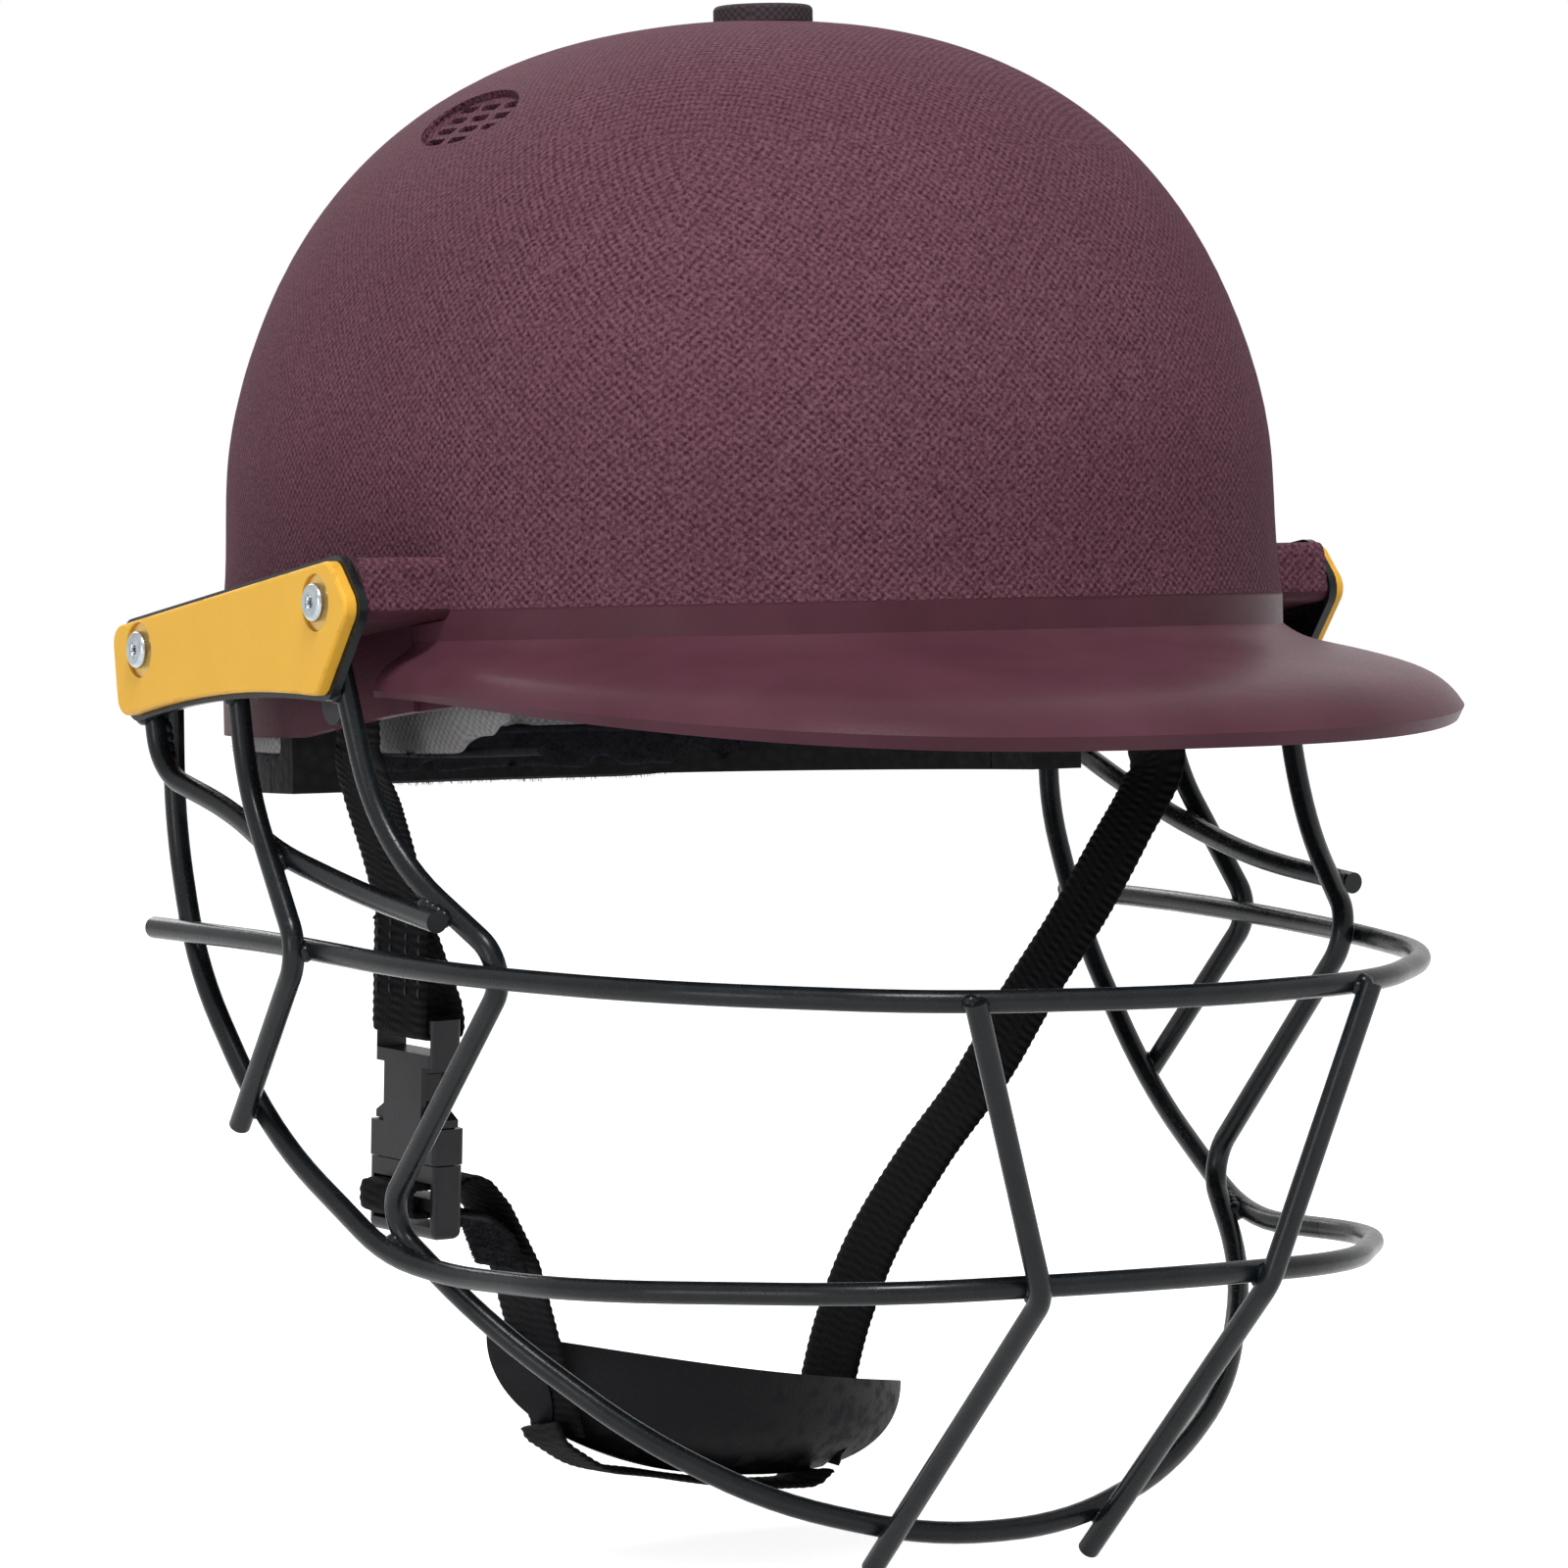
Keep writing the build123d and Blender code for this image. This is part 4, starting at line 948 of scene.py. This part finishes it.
def blow_up(piece):
    """Swell the piece as a cloth bag, and keep each point within the cap of where it was."""
    before = np.array([point.co for point in piece.data.vertices])
    cloth = piece.modifiers.new("cloth", "CLOTH")
    cloth.settings.use_pressure = True
    cloth.settings.uniform_pressure_force = 4.0
    cloth.settings.effector_weights.gravity = 0.0
    cloth.point_cache.frame_start = 1
    cloth.point_cache.frame_end = PAD_FRAMES
    for frame_number in range(1, PAD_FRAMES + 1):
        scene.frame_set(frame_number)
    after = np.array([point.co for point in evaluated_mesh(piece).vertices])
    piece.modifiers.clear()
    step = after - before
    far = np.linalg.norm(step, axis=1)[:, None]
    step *= np.minimum(1.0, PAD_CAP / np.maximum(far, PAD_CAP / 100))
    piece.data.vertices.foreach_set("co", (before + step).ravel())
    scene.frame_set(1)


def press_channels(piece, angles):
    """Press sewn channels into the pad's inner face, at these angles round the head."""
    for point in piece.data.vertices:
        way = (point.co - DOME_CENTRE) * Vector((1, 1, 0))
        if point.normal.dot(way.normalized()) < -0.2:
            for angle in angles:
                line = Vector((sin(radians(angle)), -cos(radians(angle)), 0))
                off = (way - line * way.dot(line)).length if way.dot(line) > 0 else 1.0
                point.co += way.normalized() * CHANNEL_DEPTH * swell(off, CHANNEL_WIDTH)


def add_pad(node, angles=()):
    """A fabric pad in the place of a CAD pad."""
    piece = bpy.data.objects.new(node + "_cushion", nodes[node].data.copy())
    scene.collection.objects.link(piece)
    weld = piece.modifiers.new("weld", "WELD")
    weld.merge_threshold = 0.01 * MM
    shrink = piece.modifiers.new("shrink", "DISPLACE")
    shrink.strength = -PAD_SHRINK
    shrink.mid_level = 0.0
    voxels = piece.modifiers.new("voxels", "REMESH")
    voxels.mode = "VOXEL"
    voxels.voxel_size = PAD_VOXEL
    work_in(piece)
    blow_up(piece)
    rounder = piece.modifiers.new("rounder", "SUBSURF")
    rounder.levels = 1
    work_in(piece)
    piece.data.update()
    press_channels(piece, angles)
    piece.data.shade_smooth()
    piece.data.materials.clear()
    piece.data.materials.append(pad_fabric)
    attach(piece, "helmet")
    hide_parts(node)
    print("pad", piece.name, len(piece.data.vertices), "points")
    return piece


# %% [markdown]
# The pads are covered in light grey mesh fabric on top and black plush below. The line between them rises and falls
# round the head. It is one formula, used by the finish, by the piping that covers the seam, and by the plush fibres.

# %% pad fabric
EDGE_HEIGHT = -30.5 * MM
EDGE_WAVE = 1.5 * MM
EDGE_TURNS = 2


def edge_height(angle):
    """The height of the seam at an angle round the head, from the front to the wearer's left."""
    return EDGE_HEIGHT + EDGE_WAVE * cos(EDGE_TURNS * angle)


def make_pad_fabric():
    material, place = new_finish("pad_fabric")
    x, y, z = place.axes()
    angle = place.math("ARCTAN2", x, DOME_CENTRE.y - y)
    edge = EDGE_HEIGHT + EDGE_WAVE * angle.math("COSINE", angle * EDGE_TURNS)
    grey = (z - edge).above(0.0, 0.4 * MM)
    mesh = picked_weave(place, 1.1 * MM)
    fuzz = place.noise(0.8 * MM, 3.0)
    light = (0.5 * mesh + 0.5 * fuzz).mix((0.17, 0.165, 0.17, 1.0), (0.40, 0.39, 0.40, 1.0))
    dark = fuzz.mix((0.004, 0.004, 0.006, 1.0), (0.026, 0.026, 0.034, 1.0))
    return set_finish(
        material,
        {"Base Color": grey.mix(dark, light), "Roughness": 0.75 + 0.2 * fuzz},
        grey * mesh + 0.7 * fuzz,
        0.25 * MM,
        Specular_IOR_Level=0.1,
    )


pad_fabric = make_pad_fabric()

# %% pads
add_pad("brow_pad", (-26, 0, 26))
add_pad("side_pad_left", (90,))
add_pad("side_pad_right", (-90,))
nape_cushion = add_pad("nape_pad", (154, 180, 206))
add_pad("crown_pad")

# %% [markdown]
# ## Piping and plush
# A black piping cord covers the seam between the grey fabric and the plush. It lies on the inner face of the pads, so
# its line is the dome's oval drawn in by the thickness of shell, foam and pad.

# %% piping
HALF_WIDTH = 112.0 * MM
FRONT_REACH = 128.0 * MM
BACK_REACH = 142.0 * MM
OVAL_POWER = 2.3
PAD_FACE_INSET = 27.0 * MM
PIPING_RADIUS = 1.1 * MM


def oval_place(angle, inset, z):
    """A place on the helmet's oval, drawn in by the inset. The angle runs from the front to the wearer's left."""
    reach = FRONT_REACH if cos(angle) >= 0 else BACK_REACH
    out = abs(sin(angle)) ** (2 / OVAL_POWER) * (1 if sin(angle) >= 0 else -1)
    ahead = abs(cos(angle)) ** (2 / OVAL_POWER) * (1 if cos(angle) >= 0 else -1)
    return Vector(((HALF_WIDTH - inset) * out, DOME_CENTRE.y - (reach - inset) * ahead, z))


def seam_place(angle):
    """A place on the seam, whose height depends on where the place is seen from the middle of the dome."""
    place = oval_place(angle, PAD_FACE_INSET, 0.0)
    way = place - DOME_CENTRE
    true_angle = Vector((0, -1)).angle_signed(Vector((way.x, way.y)))
    place.z = edge_height(true_angle)
    return place


def add_piping(name, start, end):
    """A round cord along the seam between two angles."""
    data = bpy.data.curves.new(name, "CURVE")
    data.dimensions = "3D"
    data.bevel_depth = PIPING_RADIUS
    data.bevel_resolution = 4
    data.use_fill_caps = True
    spline = data.splines.new("POLY")
    angles = np.radians(np.linspace(start, end, 60))
    spline.points.add(len(angles) - 1)
    for point, angle in zip(spline.points, angles):
        point.co = (*seam_place(angle), 1.0)
    data.materials.append(plush_black)
    piece = bpy.data.objects.new(name, data)
    scene.collection.objects.link(piece)
    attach(piece, "helmet")
    print("piping", name)


add_piping("nape_piping", 130, 230)
add_piping("side_piping_left", 69, 111)
add_piping("side_piping_right", -111, -69)

# %% [markdown]
# ## Liner skirt
# Fabric is wrapped over the rear foam's lower lip, from ear to ear behind the head. Its section is an open curve of
# places, each with its distance in from the shell and its height. The curve is carried round the oval, puffs a little
# between its stitches, lifts towards the ears, and shrinks to its own middle at both ends.

# %% liner skirt
SKIRT_PROFILE = [(4.0, -21.0), (3.75, -26.0), (2.9, -28.5), (2.5, -33.0), (3.4, -37.2), (6.2, -40.4)]
SKIRT_PROFILE += [(10.4, -41.6), (14.6, -40.4), (17.2, -37.4), (18.2, -32.0), (18.3, -24.0)]
SKIRT_MIDDLE = (11.0, -30.0)
SKIRT_ENDS = (100.5, 259.5)
SKIRT_STEPS = 150
SKIRT_ROUND = 3.0
SKIRT_LIFT = 6.5
SKIRT_LOW_HALF = 16.0
SKIRT_RISE = 34.0
SKIRT_BAND = -27.0
SKIRT_BAND_DEPTH = 14
PUFF_DEPTH = 0.35
PUFF_COUNT = 36
SKIRT_WALL = 0.6 * MM


def skirt_section(angle):
    """The skirt's section at an angle, as places in and up, in mm."""
    to_end = min(angle - SKIRT_ENDS[0], SKIRT_ENDS[1] - angle, SKIRT_ROUND) / SKIRT_ROUND
    full = (1 - (1 - to_end) ** 2) ** 0.5
    puff = PUFF_DEPTH * sin(radians(angle) * PUFF_COUNT)
    aside = min(1.0, max(0.0, abs(angle - 180) - SKIRT_LOW_HALF) / SKIRT_RISE)
    lift = SKIRT_LIFT * aside * aside * (3 - 2 * aside)
    section = []
    for inset, height in SKIRT_PROFILE:
        height += lift * max(0.0, SKIRT_BAND - height) / SKIRT_BAND_DEPTH
        inset = SKIRT_MIDDLE[0] + (inset - SKIRT_MIDDLE[0]) * full
        height = SKIRT_MIDDLE[1] + (height - SKIRT_MIDDLE[1]) * full
        low = max(0.0, SKIRT_BAND - height) / SKIRT_BAND_DEPTH
        section.append((inset - puff * low, height))
    return section


def add_skirt(name):
    """The fabric over the lower lip of the rear foam."""
    points = []
    faces = []
    count = len(SKIRT_PROFILE)
    for angle in np.linspace(*SKIRT_ENDS, SKIRT_STEPS):
        points += [oval_place(radians(angle), inset * MM, height * MM) for inset, height in skirt_section(angle)]
    for i in range(SKIRT_STEPS - 1):
        for j in range(count - 1):
            faces.append((i * count + j, i * count + j + 1, (i + 1) * count + j + 1, (i + 1) * count + j))
    piece = add_mesh(name, points, faces, pad_fabric, "helmet")
    solid = piece.modifiers.new("thickness", "SOLIDIFY")
    solid.thickness = SKIRT_WALL
    solid.offset = 1.0
    rounder = piece.modifiers.new("rounder", "SUBSURF")
    rounder.levels = 2
    work_in(piece)
    return piece


skirt = add_skirt("liner_skirt")

# %% [markdown]
# The plush rims are fibres again, on every face that lies below the seam. They are spread by area, so a fine mesh
# gets no more of them than a coarse one.

# %% plush rims
def plush_spots(piece, count):
    """Random spots on the part of a pad below its seam."""
    spots = []
    faces = [face for face in piece.data.polygons if face.center.z < EDGE_HEIGHT + EDGE_WAVE]
    areas = np.array([face.area for face in faces])
    for k in random.choice(len(faces), count, p=areas / areas.sum()):
        face = faces[k]
        corners = [piece.data.vertices[i].co for i in face.vertices]
        shares = random.dirichlet([1.0] * len(corners))
        place = sum((corner * share for corner, share in zip(corners, shares)), Vector())
        way = place - DOME_CENTRE
        if place.z < edge_height(Vector((0, -1)).angle_signed(Vector((way.x, way.y)))):
            spots.append((place, face.normal.copy()))
    return spots


PLUSH = 1.5 * MM
add_fibres("nape_plush", plush_spots(nape_cushion, 3600), PLUSH, "helmet")
add_fibres("skirt_plush", plush_spots(skirt, 5200), PLUSH * 0.7, "helmet")
for side in ("left", "right"):
    cushion = bpy.data.objects[f"side_pad_{side}_cushion"]
    add_fibres(f"side_plush_{side}", plush_spots(cushion, 1300), PLUSH, "helmet")

# %% [markdown]
# ## Weld beads
# Every crossing of the guard is welded. The CAD's wires only touch, so the script looks for the places where they
# do: it cuts one wire's mesh finely, keeps the points that lie on or in the other wire, and groups them. Each group
# gets a short run of small lumps along its length, like the ripples of a real weld.

# %% find the welds
CUT_LENGTH = 1.6 * MM
GROUP = 9.0 * MM


def fine_points(name):
    """Points over a node's surface, at most about a cut length apart."""
    shape = bmesh.new()
    shape.from_mesh(nodes[name].data)
    for i in range(9):
        long_edges = [edge for edge in shape.edges if edge.calc_length() > CUT_LENGTH * 1.5]
        if long_edges:
            bmesh.ops.subdivide_edges(shape, edges=long_edges, cuts=1)
    points = [point.co.copy() for point in shape.verts]
    shape.free()
    return points


def touch_groups(points, other):
    """Groups of the points that lie on or in the other tree's surface."""
    close = []
    for point in points:
        near = other.find(point)
        if near[2] < CUT_LENGTH * 0.62:
            close.append((point + near[0]) / 2)
    groups = []
    for point in close:
        for group in groups:
            if (group[0] - point).length < GROUP:
                group.append(point)
                break
        else:
            groups.append([point])
    return groups


def tree_of(points):
    tree = kdtree.KDTree(len(points))
    for i, point in enumerate(points):
        tree.insert(point, i)
    tree.balance()
    return tree


welded = wire_names + ["cage_plate_left", "cage_plate_right"]
surface_points = {name: fine_points(name) for name in welded}
surface_trees = {name: tree_of(points) for name, points in surface_points.items()}
weld_groups = []
for i, name in enumerate(wire_names):
    for other in welded[i + 1:]:
        weld_groups += touch_groups(surface_points[name], surface_trees[other])
print("welds found", len(weld_groups))

# %% make the beads
BEAD_RADIUS = 2.1 * MM
BEAD_PITCH = 2.2 * MM
BEAD_MOST = 5


def bead_run(group):
    """The middle of a group, the way that it runs, and how many beads it takes."""
    array = np.array([tuple(point) for point in group])
    middle = array.mean(axis=0)
    way = np.linalg.svd(array - middle)[2][0]
    spread = (array - middle) @ way
    reach = float(spread.max() - spread.min())
    return Vector(middle), Vector(way), max(1, min(BEAD_MOST, int(reach / BEAD_PITCH)))


def add_beads(name, groups):
    """Small uneven lumps on each weld, in one mesh."""
    shape = bmesh.new()
    for group in groups:
        middle, way, count = bead_run(group)
        for i in range(count):
            place = middle + way * BEAD_PITCH * (i - (count - 1) / 2)
            scale = BEAD_RADIUS * random.uniform(0.85, 1.1)
            made = bmesh.ops.create_icosphere(shape, subdivisions=3, radius=scale)
            for point in made["verts"]:
                lump = 1 + 0.08 * sin(point.co.x * 2900) * sin(point.co.y * 3300 + i) * sin(point.co.z * 3700)
                point.co = place + point.co * lump
    mesh = bpy.data.meshes.new(name)
    shape.to_mesh(mesh)
    shape.free()
    mesh.shade_smooth()
    mesh.materials.append(guard_steel)
    piece = bpy.data.objects.new(name, mesh)
    scene.collection.objects.link(piece)
    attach(piece, "helmet")
    print("beads", len(mesh.vertices), "points")


add_beads("weld_beads", weld_groups)

# %% [markdown]
# ## Screw drives
# The screws are driven by a six-lobed key. The CAD gives each head a round socket; a ring with a lobed hole sits in it.

# %% screw drives
SCREW_PLACES = [(-25.32 * MM, 2.56 * MM), (63.12 * MM, -7.36 * MM)]
HEAD_FACE_X = 134.0 * MM
DRIVE_DEPTH = 1.0 * MM
DRIVE_OUTER = 1.98 * MM
LOBE_MIDDLE = 1.35 * MM
LOBE_WAVE = 0.33 * MM
DRIVE_STEPS = 48


def add_drives(name):
    """A lobed ring in each screw's socket."""
    points = []
    faces = []
    for side in (-1, 1):
        for y, z in SCREW_PLACES:
            first = len(points)
            for i in range(DRIVE_STEPS):
                angle = 2 * pi * i / DRIVE_STEPS
                lobe = LOBE_MIDDLE + LOBE_WAVE * cos(6 * angle)
                for radius, depth in ((DRIVE_OUTER, 0.0), (lobe + 0.08 * MM, 0.0), (lobe, DRIVE_DEPTH)):
                    x = side * (HEAD_FACE_X - depth)
                    points.append((x, y + radius * cos(angle), z + radius * sin(angle)))
            for i in range(DRIVE_STEPS):
                low = first + 3 * i
                high = first + 3 * ((i + 1) % DRIVE_STEPS)
                for k in range(2):
                    faces.append((low + k, low + k + 1, high + k + 1, high + k)[::side])
    add_mesh(name, points, faces, screw_steel, "helmet")


add_drives("screw_drives")
